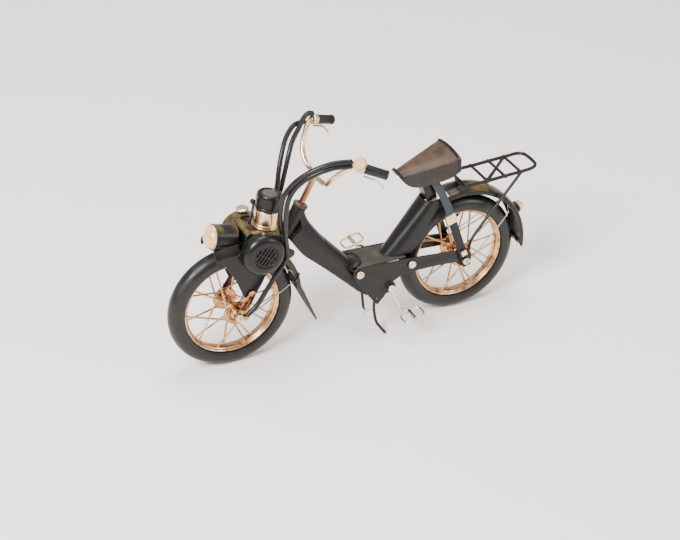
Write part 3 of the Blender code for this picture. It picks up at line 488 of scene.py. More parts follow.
def makeWheel(prefix, centreX, hubHalf):
    body = prefix + "_wheel"
    size = wheelSize
    centre = (centreX, 0, axleZ)
    core = size["radius"] - size["tyre"]
    bead = math.acos((size["seat"] - core) / size["tyre"])
    turn = np.linspace(bead, -bead, 41)
    section = np.stack((core + size["tyre"] * np.cos(turn), size["tyre"] * np.sin(turn)), -1)
    makePiece(prefix + "_tyre_moulded", [revolve(section, centre, alongY, 144, True)], tyreRubber,
        body, [prefix + "_tyre"], sharp=60)
    half, lip = size["rimHalf"], size["seat"] - 0.25
    side = [(lip, half - 0.9), (lip - 0.1, half - 0.15), (lip - 0.7, half), (35.6, half - 0.35),
        (35.2, half - 1.1), (34.2, 2.9), (size["well"] + 0.1, 1.6)]
    profile = side + [(r, -y) for r, y in reversed(side)]
    makePiece(prefix + "_rim_rolled", [turned(profile, 0.5, centre, alongY, 144, True)],
        copperPlate, body, [prefix + "_rim"], sharp=50)

    h = hubHalf
    side = [(2.0, h - 1.4), (4.5, h - 1.4), (4.8, h - 2.9), (5.7, h - 3.2), (6.3, h - 1.9),
        (7.9, h - 1.6), (8.9, h - 2.3), (9.1, h - 3.4), (8.0, h - 4.2), (4.0, h - 4.8),
        (3.5, h - 6.6)]
    profile = side + [(r, -y) for r, y in reversed(side)]
    makePiece(prefix + "_hub_turned", [turned(profile, 0.4, centre, alongY, 96, True)], hubCopper,
        body, [prefix + "_hub_and_spokes"])
    count = size["spokesASide"]
    index = np.tile(np.arange(count), 2)
    hand = np.repeat((-1.0, 1.0), count)
    trailing = index % 2
    tip = 2 * np.pi / count * index + np.where(hand > 0, np.pi / 2 / count, 0)
    foot = tip + np.radians(np.where(trailing, 41, -37))
    root = 6.7 + 0.8 * trailing
    inner = np.stack((root * np.cos(foot), hand * (h - 3.2 + 0.5 * trailing), root * np.sin(foot)),
        -1) + centre
    reach = size["well"] + 0.5
    outer = np.stack((reach * np.cos(tip), hand * (0.6 + 0.7 * trailing), reach * np.sin(tip)),
        -1) + centre
    makePiece(prefix + "_spokes_laced", [bars(inner, outer, size["spoke"])], copperPlate, body)
    for name, hand in sides:
        cap = [(1.9, h - 2.4), (3.6, h - 2.4), (3.6, h), (3.2, h + 0.4), (2.3, h + 0.3), (1.9, h)]
        makePiece(prefix + "_hub_cap_" + name, [turned(cap, 0.35, centre, alongY * hand, 48, True)],
            paleBrass, body)


makeWheel("front", 0.0, 13.2)
makeWheel("rear", rearX, 11.4)


def makeAxle(node, centreX, half, nutFrom, body):
    # a round bar with a dished end, and a ring nut that holds it on each side
    centre = (centreX, 0, axleZ)
    end = [(0, half - 2.2), (0.75, half - 2.0), (0.95, half - 0.1), (1.2, half), (1.5, half - 0.1),
        (1.6, half - 0.6), (1.6, nutFrom + 2.0)]
    profile = rounded(end + [(r, -y) for r, y in reversed(end)], 0.15)
    makePiece(node + "_bar", [revolve(profile, centre, alongY, 40)], silverWire, body, [node])
    for name, hand in sides:
        nut = [(1.55, nutFrom), (2.8, nutFrom), (2.8, nutFrom + 2.0), (1.55, nutFrom + 2.0)]
        makePiece(node + "_nut_" + name, [turned(nut, 0.5, centre, alongY * hand, 40, True)],
            paleBrass, body)


makeAxle("front_axle", 0.0, 20.4, 17.4, "steering")
makeAxle("rear_axle", rearX, 19.2, 16.2, "frame")
print("wheels made")


# front fork and its links
forkSize = {"plateY": 14.5, "thick": 1.2, "edge": 0.45, "link": 16.2}


def makeFork():
    cheek = [(-13.0, 98.2), (-12.8, 96.8), (-6.2, 87.6), (-0.5, 76.5), (3.2, 66.9), (6.0, 60.8),
        (9.0, 59.2), (12.6, 60.2), (19.1, 70.2), (22.1, 77.0), (33.5, 84.2), (44.0, 87.0),
        (45.0, 91.5), (37.5, 96.5), (37.0, 103.0), (33.0, 107.5), (6.0, 108.5), (2.0, 98.2)]
    outline = rounded(cheek, 3.0, True)
    shapes = []
    for name, hand in sides:
        y, half = forkSize["plateY"] * hand, forkSize["thick"] / 2
        shapes.append(slab(outline, y - half, y + half, forkSize["edge"]))
        # the ear is a strip that curls in over the lamp from the cheek's top edge
        rise = np.linspace(0, 1, 12)
        curl = np.stack((-5.8 - 1.0 * rise, hand * (14.5 - 3.9 * rise ** 1.7), 97.0 + 7.0 * rise),
            -1)
        shapes.append(carry(curl, roundedBar(19.4, 1.1, 0.5), (1, 0, 0)))
    t = math.radians(27.7)
    axes = ((math.cos(t), 0, -math.sin(t)), (0, 1, 0), tuple(steerUp))
    crown = rounded(((2.9, 14.1), (-3.75, 14.1), (-3.75, -14.1), (2.9, -14.1)), 0.8, True)
    shapes.append(slab(crown, -2.2, 1.6, 0.5, steerAt(90.6), axes))
    makePiece("fork_cheeks", shapes, blackEnamel, "steering", ["front_fork"])
    for name, hand in sides:
        low, high = arc((1.2, 47.6), 4.6, 190, 360, 24), arc((10.6, 64.2), 3.0, 0, 165, 24)
        y = forkSize["link"] * hand
        spindle = arc((0.0, 48.0), 1.75, 0, 345, 24)
        window = np.vstack((arc((5.6, 54.6), 0.75, 215, 395, 10),
            arc((9.6, 62.4), 0.75, 35, 215, 10)))
        link = flatPlate(np.vstack((low, high)), [spindle, window], y - 0.75, y + 0.75, 0.3)
        boss = turned([(0, 2.8), (1.9, 2.8), (1.9, -0.5), (0, -0.5)], 0.5, (5.0, y, 46.6),
            alongY * hand, 32)
        # the far link takes the copper darkened as painted shade
        makePiece("fork_link_pad_" + name, [link, boss],
            linkCopper if hand < 0 else farLinkInShadeCopper, "steering", ["fork_link_" + name])


makeFork()


# engine
engineSize = {"coverCentre": (18.2, -15.4, 98.2), "grille": 8.5, "slotPitch": 2.7,
    "cylinder": (27.6, 0, 108.9), "lean": 10.0, "tank": (17.4, 15.4, 96.2),
    "fuelNeck": (18.6, 19.0)}


def makeEngine():
    bed = arc((0.0, axleZ), 50.4, 47.5, 81.3, 12)
    outline = np.vstack((bed, [(7.6, 111.6), (10.0, 113.4), (13.0, 112.9), (15.4, 111.4),
        (17.0, 110.4), (36.2, 107.0), (37.2, 105.4), (36.6, 97.0)]))
    makePiece("crankcase", [slab(rounded(outline, 1.6, True), -13.5, 13.5, 1.5)], bronzedEnamel,
        "steering", ["engine_casing"])

    turn = np.radians(np.linspace(12, 90, 16))
    dome = np.vstack((((0, 7.4), (8.4, 7.4)), rounded(((8.5, 7.4), (8.6, 9.6), (9.3, 10.1),
        (10.6, 10.0)), 0.4), np.stack((10.6 + 5.4 * np.sin(turn), 4.7 + 5.3 * np.cos(turn)), -1),
        ((16.0, 0.6), (15.6, 0.0), (0, 0))))
    makePiece("flywheel_dome", [revolve(dome, engineSize["coverCentre"], -alongY, 120)],
        plainEnamel, "steering", ["flywheel_cover"])
    # the grille is a disc that drops by depth inside slanting slots: with s the distance to the
    # slot's rim and b = (s + 0.22) / 0.44 held to 0..1, depth = 1.3 * (1 - b^2 * (3 - 2 b))
    ring = np.linspace(0, 1, 46)[None, :]
    turn = np.linspace(0, 2 * np.pi, 180, endpoint=False)[:, None]
    a, b = 8.2 * ring * np.cos(turn), 8.2 * ring * np.sin(turn)
    slant, pitch = math.radians(-52), engineSize["slotPitch"]
    along = a * math.cos(slant) - b * math.sin(slant)
    across = a * math.sin(slant) + b * math.cos(slant)
    lane = np.clip(np.round(across / pitch - 0.5) + 0.5, -2.5, 2.5) * pitch
    length = np.sqrt(np.maximum(0.0, 7.3 ** 2 - lane ** 2))
    gap = np.maximum(np.abs(across - lane) - 0.75, np.abs(along) - length)
    split = np.maximum(gap, 0.45 - np.abs(along + 0.4))
    blend = np.clip((split + 0.22) / 0.44, 0, 1)
    depth = 1.3 * (1 - blend ** 2 * (3 - 2 * blend))
    x0, y0, z0 = engineSize["coverCentre"]
    grid = np.stack((x0 + a, y0 - 9.2 + depth + 0 * a, z0 + b), -1)
    radius = engineSize["grille"]
    rim = np.stack((x0 + radius * np.cos(turn[:, 0]), np.full(180, y0 - 8.8),
        z0 + radius * np.sin(turn[:, 0])), -1)
    back = rim + (0, 1.6, 0)
    grid = np.concatenate((grid, rim[:, None], back[:, None],
        np.broadcast_to((x0, y0 - 7.2, z0), (180, 1, 3))), 1)
    makePiece("flywheel_grille_pressed", [surface(grid, closeU=True)], plainEnamel, "steering",
        ["flywheel_grille"], sharp=50)

    tank = rounded([(0, 8.8), (12.8, 8.8), (14.8, 8.2), (15.5, 6.2), (15.5, -1.8), (0, -1.9)], 1.2,
        steps=8)
    neck = rounded([(0, 4.4), (3.5, 4.4), (4.2, 2.0), (6.2, 0.2), (6.4, -4.0), (0, -4.0)], 0.8)
    makePiece("fuel_tank_drum", [revolve(tank, engineSize["tank"], alongY, 120),
        revolve(neck, (*engineSize["fuelNeck"], 109.0), alongZ, 48)], bronzedEnamel, "steering",
        ["fuel_tank"])
    cap = rounded([(0, 1.5), (3.2, 1.4), (4.6, 0.9), (4.8, 0.1), (4.6, -0.8), (0, -0.8)], 0.6,
        steps=6)
    makePiece("fuel_cap_dome", [revolve(cap, (*engineSize["fuelNeck"], 114.1), alongZ, 64)],
        paleBrass, "steering", ["fuel_cap"])

    barrel = [(0, 13.6), (8.9, 13.6), (9.2, 13.2), (9.2, 3.3), (9.75, 2.9), (9.75, 2.2),
        (9.25, 1.9), (9.25, 1.5), (9.9, 1.2), (9.9, 0.2), (0, 0.1)]
    t = math.radians(engineSize["lean"])
    up, foot = np.array((math.sin(t), 0, math.cos(t))), np.array(engineSize["cylinder"])
    seat = foot + up * 13.9
    makePiece("cylinder_barrel", [turned(barrel, 0.25, foot, up, 96)], barrelCopper, "steering",
        ["engine_cylinder"])
    head = [(0, 11.4), (6.2, 11.4), (6.5, 12.3), (7.4, 12.4), (8.9, 11.9), (9.5, 10.2), (9.5, 6.4),
        (9.5, 3.1), (9.2, 2.8), (9.2, 2.4), (9.5, 2.1), (9.5, 0.5), (9.2, 0.1), (0, 0.0)]
    # a thin bail comes over the rim of the head and down its near side
    wire = [(4.6, -3.0, 12.6), (5.6, 1.5, 13.1), (5.4, 6.6, 12.4), (5.0, 8.6, 10.0),
        (4.4, 9.0, 6.0), (3.6, 9.5, 1.2)]
    near = np.array((-0.441, -0.897, 0.0))
    across = np.array((0.897, -0.441, 0.0))
    bail = [seat + across * a + near * b + up * c for a, b, c in wire]
    makePiece("cylinder_head_cap", [turned(head, 0.7, seat, up, 96),
        carry(curveThrough(bail), circle(0.5, 12), alongY)], plainEnamel, "steering",
        ["cylinder_head"])
    disc = rounded([(0, 12.0), (5.5, 11.95), (5.8, 11.8), (5.8, 11.3), (0, 11.3)], 0.15)
    makePiece("cylinder_head_disc", [revolve(disc, seat, up, 72)], discEnamel, "steering")
    strap = carry(curveThrough([(15.6, 0, 113.0), (18.0, 0, 122.0), (19.8, 0, 131.5)]),
        roundedBar(1.2, 2.6, 0.4), (1, 0, 0))
    knob = turned([(0, 1.9), (1.5, 1.6), (2.1, 0), (1.4, -1.5), (0, -1.9)], 0.7, (18.5, 0, 130.6),
        (-1, 0, 0.2), 40, fine=7)
    makePiece("decompressor_strap", [strap, knob], plainEnamel, "steering", ["decompressor_lever"])


makeEngine()


# headlamp
lampSize = {"back": (7.6, 0, 104.4), "face": (-13.3, 0, 108.9), "start": (4.9, 0, 105.0)}


def makeHeadlamp():
    back, face = np.array(lampSize["back"]), np.array(lampSize["face"])
    forward, length = unit(face - back), np.linalg.norm(face - back)
    start, rim = lampSize["start"], length - 3.2
    shell = [(0, rim - 5.0), (8.7, rim - 5.0), (8.9, rim - 0.1), (9.3, rim + 0.2), (9.6, rim - 0.2),
        (9.6, rim - 1.6), (9.3, rim - 2.0), (9.3, 1.4), (8.4, 0.1), (0, 0.0)]
    makePiece("headlamp_barrel", [turned(shell, 0.6, start, forward, 120)], bronzedEnamel,
        "steering", ["headlamp_shell"])
    turn = np.radians(np.linspace(0, 88, 18))
    dome = np.vstack((np.stack((9.0 * np.sin(turn) ** 0.8, rim - 0.2 + 5.4 * np.cos(turn)), -1),
        ((8.7, rim - 3.6), (0, rim - 3.6))))
    makePiece("headlamp_glass", [revolve(dome, start, forward, 120)], lampPearl, "steering",
        ["headlamp_lens"], sharp=70)


makeHeadlamp()
print("engine and lamp made")


# mudguards: a curved strip with turned-down skirts, its two faces joined by a thin rim
def guardShell(stations, wall, ribs=None, fine=10):
    # stations[k, j] are points across the guard; both directions are smoothed by Catmull-Rom,
    # and the inner face is the outer one moved by `wall` along the surface's normal
    grid = curveThrough(stations, fine)
    grid = curveThrough(grid.transpose(1, 0, 2), 6).transpose(1, 0, 2)
    if ribs is not None:
        grid = ribs(grid)
    alongU, alongV = np.gradient(grid, axis=0), np.gradient(grid, axis=1)
    normal = unit(np.cross(alongU, alongV))
    inner = grid + normal * wall
    ring = np.concatenate((grid, inner[:, ::-1]), 1)
    return surface(ring, closeV=True, capU=True)


guardShare = np.array((-1.0, -0.97, -0.8, -0.45, 0.0, 0.45, 0.8, 0.97, 1.0))


def guardStation(centre, radius, drop, half, angle, skirtAngle):
    # across the guard, y = share * half and the radius falls by drop * (1 - sqrt(1 - share^2))
    # times a little over a half, then all of drop at the two skirts
    fall = 0.52 * drop * (1 - np.sqrt(np.maximum(0, 1 - guardShare ** 2)))
    fall[[0, -1]] = drop
    t = np.full(9, math.radians(angle))
    t[[0, -1]] = math.radians(skirtAngle)
    reach = radius - fall
    return np.stack((centre[0] + reach * np.cos(t), guardShare * half,
        centre[1] + reach * np.sin(t)), -1)


def makeFrontGuard():
    hub = (0.0, axleZ)
    stations = [guardStation(hub, 54.4, 4.0, 7.8, angle, angle) for angle in (38, 30, 22, 14, 6)]
    fall = np.array((1.0, 0.5, 0.25, 0.07, 0, 0.07, 0.25, 0.5, 1.0))
    for x, z, half, drop in ((57.2, 46.6, 6.6, 3.2), (61.0, 37.0, 4.8, 2.4),
            (65.0, 27.0, 3.0, 1.6), (69.0, 17.4, 0.9, 0.8)):
        stations.append(np.stack((x - fall * drop * 0.93, guardShare * half,
            z - fall * drop * 0.36), -1))
    makePiece("front_guard_strip", [guardShell(np.array(stations), 0.7)], tailBronze, "steering",
        ["front_mudguard"], sharp=50)
    path = [(8.5, -19.6, 50.4), (16.0, -19.0, 53.4), (30.0, -15.6, 58.2), (41.0, -11.6, 61.0),
        (46.0, -8.6, 61.2), (48.4, -5.0, 62.8), (49.5, 0, 63.8)]
    path += [(x, -y, z) for x, y, z in reversed(path[:-1])]
    makePiece("front_guard_stay", [carry(curveThrough(path), circle(0.5, 12), alongZ)], dullWire,
        "steering", ["front_mudguard_stay"])
    for name, hand in sides:
        loop = np.array([(46.4, -8.9, 61.0), (49.4, -9.0, 63.6), (51.0, -8.7, 66.8),
            (49.4, -8.3, 67.4), (47.4, -8.2, 65.0), (45.6, -8.4, 62.4)]) * (1, -hand, 1)
        makePiece("front_guard_clip_" + name, [carry(curveThrough(loop, 8, True), circle(0.5, 12),
            alongY, closed=True)], blackEnamel, "steering")


def makeRearGuard():
    hub = (rearX, axleZ)
    share = np.linspace(0, 1, 13)
    stations = [guardStation(hub, 57.0 - 1.6 * s, 4.4 - 0.6 * s, 8.8, 103 - 108 * s,
        103 - 104 * s) for s in share]
    half = np.array((3.6, 3.4, 3.2, 3.0, 3.0, 3.0, 3.2, 3.4, 3.6))
    stations.append(np.stack((np.full(9, 240.4), guardShare * half,
        41.6 + np.abs(guardShare) * 3.6), -1))

    def ribs(grid):
        # two pressed ribs run back from the front edge and die out: the surface rises by
        # 0.5 mm * exp(-((y -+ 3.4) / 0.9)^2) * fade(angle)
        offset = grid - (hub[0], 0, hub[1])
        angle = np.degrees(np.arctan2(offset[..., 2], offset[..., 0]))
        fade = np.clip((angle - 66) / 16, 0, 1)
        rise = 0.5 * fade * (np.exp(-((offset[..., 1] - 3.4) / 0.9) ** 2)
            + np.exp(-((offset[..., 1] + 3.4) / 0.9) ** 2))
        radial = unit(offset * (1, 0, 1))
        return grid + radial * rise[..., None]

    makePiece("rear_guard_strip", [guardShell(np.array(stations), 0.7, ribs)], bronzedEnamel,
        "frame", ["rear_mudguard"], sharp=50)
    path = [(190.4, -18.2, 50.6), (203.0, -15.2, 60.2), (216.0, -12.0, 70.4), (224.2, -8.8, 76.8),
        (226.8, -5.0, 79.4), (228.2, 0, 80.4)]
    path += [(x, -y, z) for x, y, z in reversed(path[:-1])]
    makePiece("rear_guard_stay", [carry(curveThrough(path), circle(0.55, 12), alongZ)], silverWire,
        "frame", ["rear_mudguard_stay"])
    out = unit((math.cos(math.radians(22)), 0, math.sin(math.radians(22))))
    lampAt = np.array((hub[0] + 55.9 * math.cos(math.radians(27)), 0,
        hub[1] + 55.9 * math.sin(math.radians(27))))
    base = rounded([(0, 2.2), (4.3, 2.2), (4.7, 1.7), (4.8, 0.0), (0, 0.0)], 0.4)
    makePiece("tail_lamp_foot", [revolve(base, lampAt + out * 0.8, out, 64)], blackEnamel, "frame",
        ["tail_lamp_base"])
    lens = rounded([(0, 4.4), (2.2, 4.0), (3.7, 2.4), (4.1, 0.0), (0, 0.0)], 1.2, steps=7)
    makePiece("tail_lamp_glass", [revolve(lens, lampAt + out * 3.1, out, 64)], lampPearl, "frame",
        ["tail_lamp_lens"])


makeFrontGuard()
makeRearGuard()
print("mudguards made")


# handlebar, controls and cables
barHalf = [(66.4, 0, 140.2), (67.6, 7, 139.4), (68.3, 13, 139.8), (67.4, 18, 142.6),
    (67.4, 22, 146.6), (68.6, 26, 151.0), (71.8, 30, 156.4), (75.4, 34, 160.8), (80.2, 37.8, 163.6),
    (85.1, 39.6, 162.4)]
gripRoot, gripEnd = np.array((85.1, 39.6, 162.4)), np.array((101.6, 45.5, 155.8))
gripSize = {"radius": 3.4, "ribs": 18, "ribDepth": 0.14}


def makeHandlebar():
    way = unit(gripEnd - gripRoot)
    tip = gripRoot + way * 12
    right = barHalf + [tuple(tip)]
    run = [(x, -y, z) for x, y, z in reversed(right[1:])] + right
    bar = carry(curveThrough(run), circle(1.85, 20), (1, 0.02, 0.4))
    stem = rodBetween(steerAt(88.8), steerAt(140.4), 2.2, 28)
    makePiece("handlebar_tube", [bar, stem], roseTube, "steering", ["handlebar_and_stem"])
    for name, hand in sides:
        mirror = np.array((1, hand, 1))
        root, along = gripRoot * mirror, way * mirror
        # the grip's radius ripples round it: radius + ribDepth * cos(ribs * t)
        t = np.linspace(0, 2 * np.pi, 144, endpoint=False)
        profile = rounded([(2.3, 0.2), (3.4, 0.2), (3.4, 16.2), (3.7, 16.4), (3.7, 17.3),
            (0, 17.5)], 0.35)
        axis, sideA, sideB = sidesOf(along)
        ribbed = (profile[:, 1] > 0.5) & (profile[:, 1] < 16.0)
        relief = gripSize["ribDepth"] / gripSize["radius"]
        ripple = 1 + relief * np.cos(gripSize["ribs"] * t)[:, None] * ribbed[None]
        ring = np.cos(t)[:, None, None] * sideA + np.sin(t)[:, None, None] * sideB
        grid = (root + along * 0.6) + profile[None, :, 1:] * axis \
            + (profile[None, :, 0] * ripple)[..., None] * ring
        inside = np.broadcast_to(root + along * 0.8, (len(t), 1, 3))
        makePiece("grip_ribbed_" + name, [surface(np.concatenate((inside, grid), 1), closeU=True)],
            gripRubber, "steering", ["grip_" + name], sharp=50)
        collar = [(2.3, 4.2), (3.9, 4.2), (4.15, 3.5), (3.8, 2.6), (4.1, 1.6), (4.1, 0.6),
            (3.7, 0.0), (2.3, 0.0)]
        makePiece("control_clamp_" + name, [turned(collar, 0.4, root - along * 3.9, along, 64,
            True)], paleBrass, "steering", ["control_collar_" + name])
        route = np.array([(84.4, 40.6, 156.6), (88.6, 42.4, 155.0), (93.4, 44.0, 152.4),
            (97.8, 45.2, 147.0)]) * mirror
        path = curveThrough(route, 10)
        size = np.linspace(1.0, 0.85, len(path))
        blade = carry(path, circle(0.8, 14), alongY, size)
        ball = rounded([(0, 1.3), (0.9, 0.9), (1.3, 0), (0.9, -0.9), (0, -1.3)], 0.5)
        makePiece("brake_blade_" + name, [blade, revolve(ball, route[-1], alongZ, 24)],
            silverWire if hand < 0 else brassWire, name + "_brake_lever", ["brake_lever_" + name])
    facing = unit((-0.35, -0.76, 0.55))
    disc = [(0, 1.3), (1.1, 1.3), (1.3, 1.0), (2.5, 1.0), (2.8, 1.5), (3.3, 1.6), (3.6, 1.3),
        (3.9, 0.9), (4.2, 0.4), (4.2, -0.6), (0, -0.6)]
    dialAt = np.array((80.8, -41.9, 168.0)) + facing * 1.9
    makePiece("control_dial_face", [turned(disc, 0.25, dialAt, facing, 72)], lampPearl, "steering",
        ["control_dial"])
    bell = [(2.0, -2.6), (3.6, -2.6), (4.7, -1.6), (4.9, -0.9), (4.7, -0.75), (2.0, -0.75)]
    makePiece("control_dial_bell", [turned(bell, 0.3, dialAt, facing, 72, True)], paleBrass,
        "steering")


makeHandlebar()

cableRoutes = {
    "cable_left_throttle": [
        (76.4, -41.4, 170.6), (62.5, -38, 170.3), (49.9, -34, 165.7), (40.6, -30, 158.9),
        (35.1, -27, 151.9), (30.9, -25, 143.6), (30.0, -22.5, 131.3), (31.2, -19.8, 119),
        (33.4, -17.8, 110.5)],
    "cable_left_brake": [
        (76.2, -41.4, 167.1), (62.6, -38, 166.7), (49.2, -34, 161.9), (40.7, -30, 154.5),
        (35.3, -27.4, 145.6), (33.0, -25.6, 133), (34.0, -22.4, 112), (36.4, -19.6, 96),
        (34.4, -20.2, 88.4), (27.2, -20.4, 78.4), (19.2, -20.4, 66.5), (13.2, -20.6, 58.0),
        (8.0, -20.9, 53.4), (4.2, -21.4, 50.6)],
    "cable_right_choke": [
        (77.6, 41.0, 161.2), (70.6, 38.4, 162.8), (65.0, 36, 162.0), (58.4, 32, 156.5),
        (53.3, 27, 149.4), (48.3, 21.6, 138.2), (45.0, 18.4, 124.6), (40.8, 17.2, 112.6),
        (36.5, 17.0, 106.0)],
    "cable_right_brake": [
        (83.2, 39.4, 167.6), (78.6, 38.8, 168.8), (73.7, 36.4, 166.2), (68.8, 33, 161.6),
        (61.6, 28, 155.0), (56.6, 23.4, 146.8), (52.2, 20.6, 134.4), (49.4, 21.4, 120.6),
        (45.0, 22.4, 104.0), (38.0, 21.4, 88.4), (27.2, 20.4, 75.4), (19.2, 20.4, 66.5),
        (13.2, 20.6, 58.0), (8.0, 20.9, 53.4), (4.2, 21.4, 50.6)],
}


def makeCables():
    lengths = {}
    for node, route in cableRoutes.items():
        path = curveThrough(route, 10)
        lengths[node] = round(float(np.linalg.norm(np.diff(path, axis=0), axis=1).sum()))
        ended, size = roundEnds(path[1:-1], 0.9)
        makePiece(node + "_sleeve", [carry(ended, circle(1.85, 18), (0.1, 0.7, 0.7), size)],
            cableSleeve, "steering", [node])
    print("cable lengths in mm:", lengths)


makeCables()


# frame
def makeBeam():
    stations = [((57.5, 107.5), (44.6, 95.6), 8.0), ((66.6, 96.4), (54.0, 82.1), 9.0),
        ((80.4, 80.9), (68.0, 68.9), 9.0), ((92.0, 67.8), (80.0, 57.4), 9.0),
        ((99.3, 59.0), (90.0, 47.6), 9.0), ((108.0, 50.0), (100.0, 37.8), 9.0),
        ((112.0, 42.6), (106.4, 33.0), 9.0)]
    # across the beam: flat sides, an outward lip of up to 0.6 mm at 0.47 of the height where the
    # upper shell laps over, and above it the half ellipse y = half cos t, 0.5 + 0.5 sin t
    t = np.radians(np.linspace(172, 8, 27))
    rings = []
    for number, (top, low, half) in enumerate(stations):
        lip = 0.6 * min(1.0, 0.8 * number, (6 - number) / 2)
        side = np.array([(half - 0.4, 0.0), (half, 0.03), (half, 0.3), (half, 0.44),
            (half + lip, 0.455), (half + lip, 0.485), (half - 0.1, 0.505)])
        ring = np.vstack((side * (-1, 1), np.stack((half * np.cos(t), 0.5 + 0.5 * np.sin(t)), -1),
            side[::-1]))
        low3, rise = np.array((low[0], 0, low[1])), np.array((top[0] - low[0], 0, top[1] - low[1]))
        rings.append(low3 + ring[:, 1:] * rise + ring[:, :1] * alongY)
    beam = surface(curveThrough(np.array(rings), 8), closeV=True, capU=True)
    head = turned([(2.6, 0), (5.2, 0), (5.2, -22.4), (2.6, -22.4)], 0.4, steerAt(117.6), steerUp,
        64, True)
    # a folded web sweeps from the top of the head tube down on to the beam: y = half * cos t, and
    # in the middle plane root + (crest - root) * (sin t) ^ 0.75
    crest = curveThrough([(57.6, 116.4), (59.2, 110.6), (61.6, 105.0), (65.8, 98.6), (73.4, 88.2)],
        6)
    root = curveThrough([(52.6, 114.4), (54.0, 106.0), (57.0, 100.0), (61.6, 92.6), (69.0, 83.4)],
        6)
    half = np.linspace(4.9, 8.4, len(crest))[:, None]
    t = np.radians(np.linspace(180, 0, 21))[None, :]
    share = np.sin(t) ** 0.75
    web = np.stack((root[:, :1] + (crest - root)[:, :1] * share, half * np.cos(t),
        root[:, 1:] + (crest - root)[:, 1:] * share), -1)
    makePiece("beam_shell", [beam, head, surface(web, closeV=True, capU=True)],
        satinEnamel("beamEnamel", patinaAndTopLight="#4d4026", upward=0.6, rough=0.38), "frame", ["main_beam"])
    # the top of the beam runs out over the platform as a tongue with a curved, rolled edge
    t = np.radians(np.linspace(178, 2, 15))
    arch = np.stack((89.8 + 5.3 * np.sin(t), 9.0 * np.cos(t), 58.8 + 5.4 * np.sin(t)), -1)
    lip = np.stack((96.4 + 6.4 * np.sin(t) ** 0.8, 9.2 * np.cos(t), 61.9 + 0.5 * np.sin(t)), -1)
    share = np.linspace(0, 1, 6)[:, None, None]
    dip = np.sin(np.pi * share) * (0, 0, -0.35)
    makePiece("beam_tongue", [guardShell(arch * (1 - share) + lip * share + dip, 0.5, fine=4)],
        plainEnamel, "frame")
    path, size = roundEnds(curveThrough(lip + (0, 0, 0.25), 4), 0.6)
    makePiece("beam_rolled_lip", [carry(path, circle(0.8, 14), alongZ, size)], plainEnamel, "frame")
    collar = rounded([(2.6, 3.0), (4.8, 3.0), (5.6, 2.3), (5.7, 0.8), (5.3, 0.0), (2.6, 0.0)], 0.4,
        True)
    makePiece("head_collar_ring", [revolve(collar, steerAt(117.95), steerUp, 64, True)], headBronze,
        "frame", ["head_collar"])


armSize = {"y": 13.0, "thick": 1.6, "edge": 0.4}


def makeFrame():
    makePiece("platform_sheet", [turnedBox((116.6, 0, 60.9), (40.0, 23.8, 1.2), 0, 0.35),
        turned([(0, 0.7), (1.0, 0.6), (1.5, 0.0), (1.5, -0.6), (0, -0.6)], 0.3, (108.2, -1.5, 61.5),
        alongZ, 32)], satinEnamel("platformEnamel", base="#2f2b27", patinaAndTopLight="#4d473e", upward=0.5,
        rough=0.45), "frame", ["platform"])
    rearEye = (185.5, 48.6)
    outline = [(95.0, 61.8), (92.6, 59.4), (92.4, 55.4), (95.4, 49.6), (102.0, 40.6), (108.6, 31.2),
        (111.6, 27.0), (113.9, 26.2), (115.2, 28.6), (119.2, 32.0), (121.0, 40.4), (130.9, 46.2),
        (134.6, 48.0), (160.0, 47.8), (180.6, 46.6)]
    corners = rounded(outline, 2.0)
    whole = np.vstack((corners, arc(rearEye, 6.6, 215, 430, 30), ((179.0, 56.7), (137.3, 60.2))))
    holes = [arc((185.5, 48.0), 1.9, 0, 345, 24), arc((97.8, 56.6), 1.9, 0, 345, 24),
        arc((140.8, 54.8), 1.9, 0, 345, 24), arc((123.2, 39.4), 4.6, 0, 352, 40),
        arc((111.5, 30.5), 1.5, 0, 345, 24)]
    for name, hand in sides:
        y = armSize["y"] * hand
        plate = flatPlate(whole, holes, y - armSize["thick"] / 2, y + armSize["thick"] / 2,
            armSize["edge"])
        # the top edge is folded out into a thin bead that catches the light
        edge = np.array([(95.6, y + 0.45 * hand, 61.3), (137.3, y + 0.45 * hand, 59.8),
            (178.4, y + 0.45 * hand, 56.4)])
        path, size = roundEnds(curveThrough(edge), 0.7)
        makePiece("side_arm_folded_" + name, [plate, carry(path, circle(0.8, 12), alongY, size)],
            blackEnamel, "frame", ["side_arm_" + name])
    seat = armSize["y"] + 1.0
    half = rounded([(1.55, 0.1), (3.1, 0.1), (3.25, 0.7), (2.9, 1.4), (1.9, 2.1), (0, 2.35)], 0.6,
        steps=6)
    through = [revolve(half, (97.8, seat * hand, 56.6), alongY * hand, 48) for _, hand in sides]
    through.append(rodBetween((97.8, -seat - 0.5, 56.6), (97.8, seat + 0.5, 56.6), 1.55, 24))
    makePiece("front_bolt_domed", through, paleBrass, "frame", ["front_through_bolt"])
    for name, hand in sides:
        shank = rodBetween((140.8, (seat - 2.4) * hand, 54.8), (140.8, (seat + 0.5) * hand, 54.8),
            1.55, 24)
        makePiece("arm_bolt_domed_" + name, [revolve(half, (140.8, seat * hand, 54.8),
            alongY * hand, 48), shank], paleBrass, "frame", ["arm_bolt_" + name])
    shell = rounded([(2.0, 14.9), (4.3, 14.9), (4.3, -14.9), (2.0, -14.9)], 0.4, True)
    makePiece("crank_sleeve", [revolve(shell, (123.2, 0, 39.4), alongY, 64, True)], blackEnamel,
        "frame", ["crank_housing"])


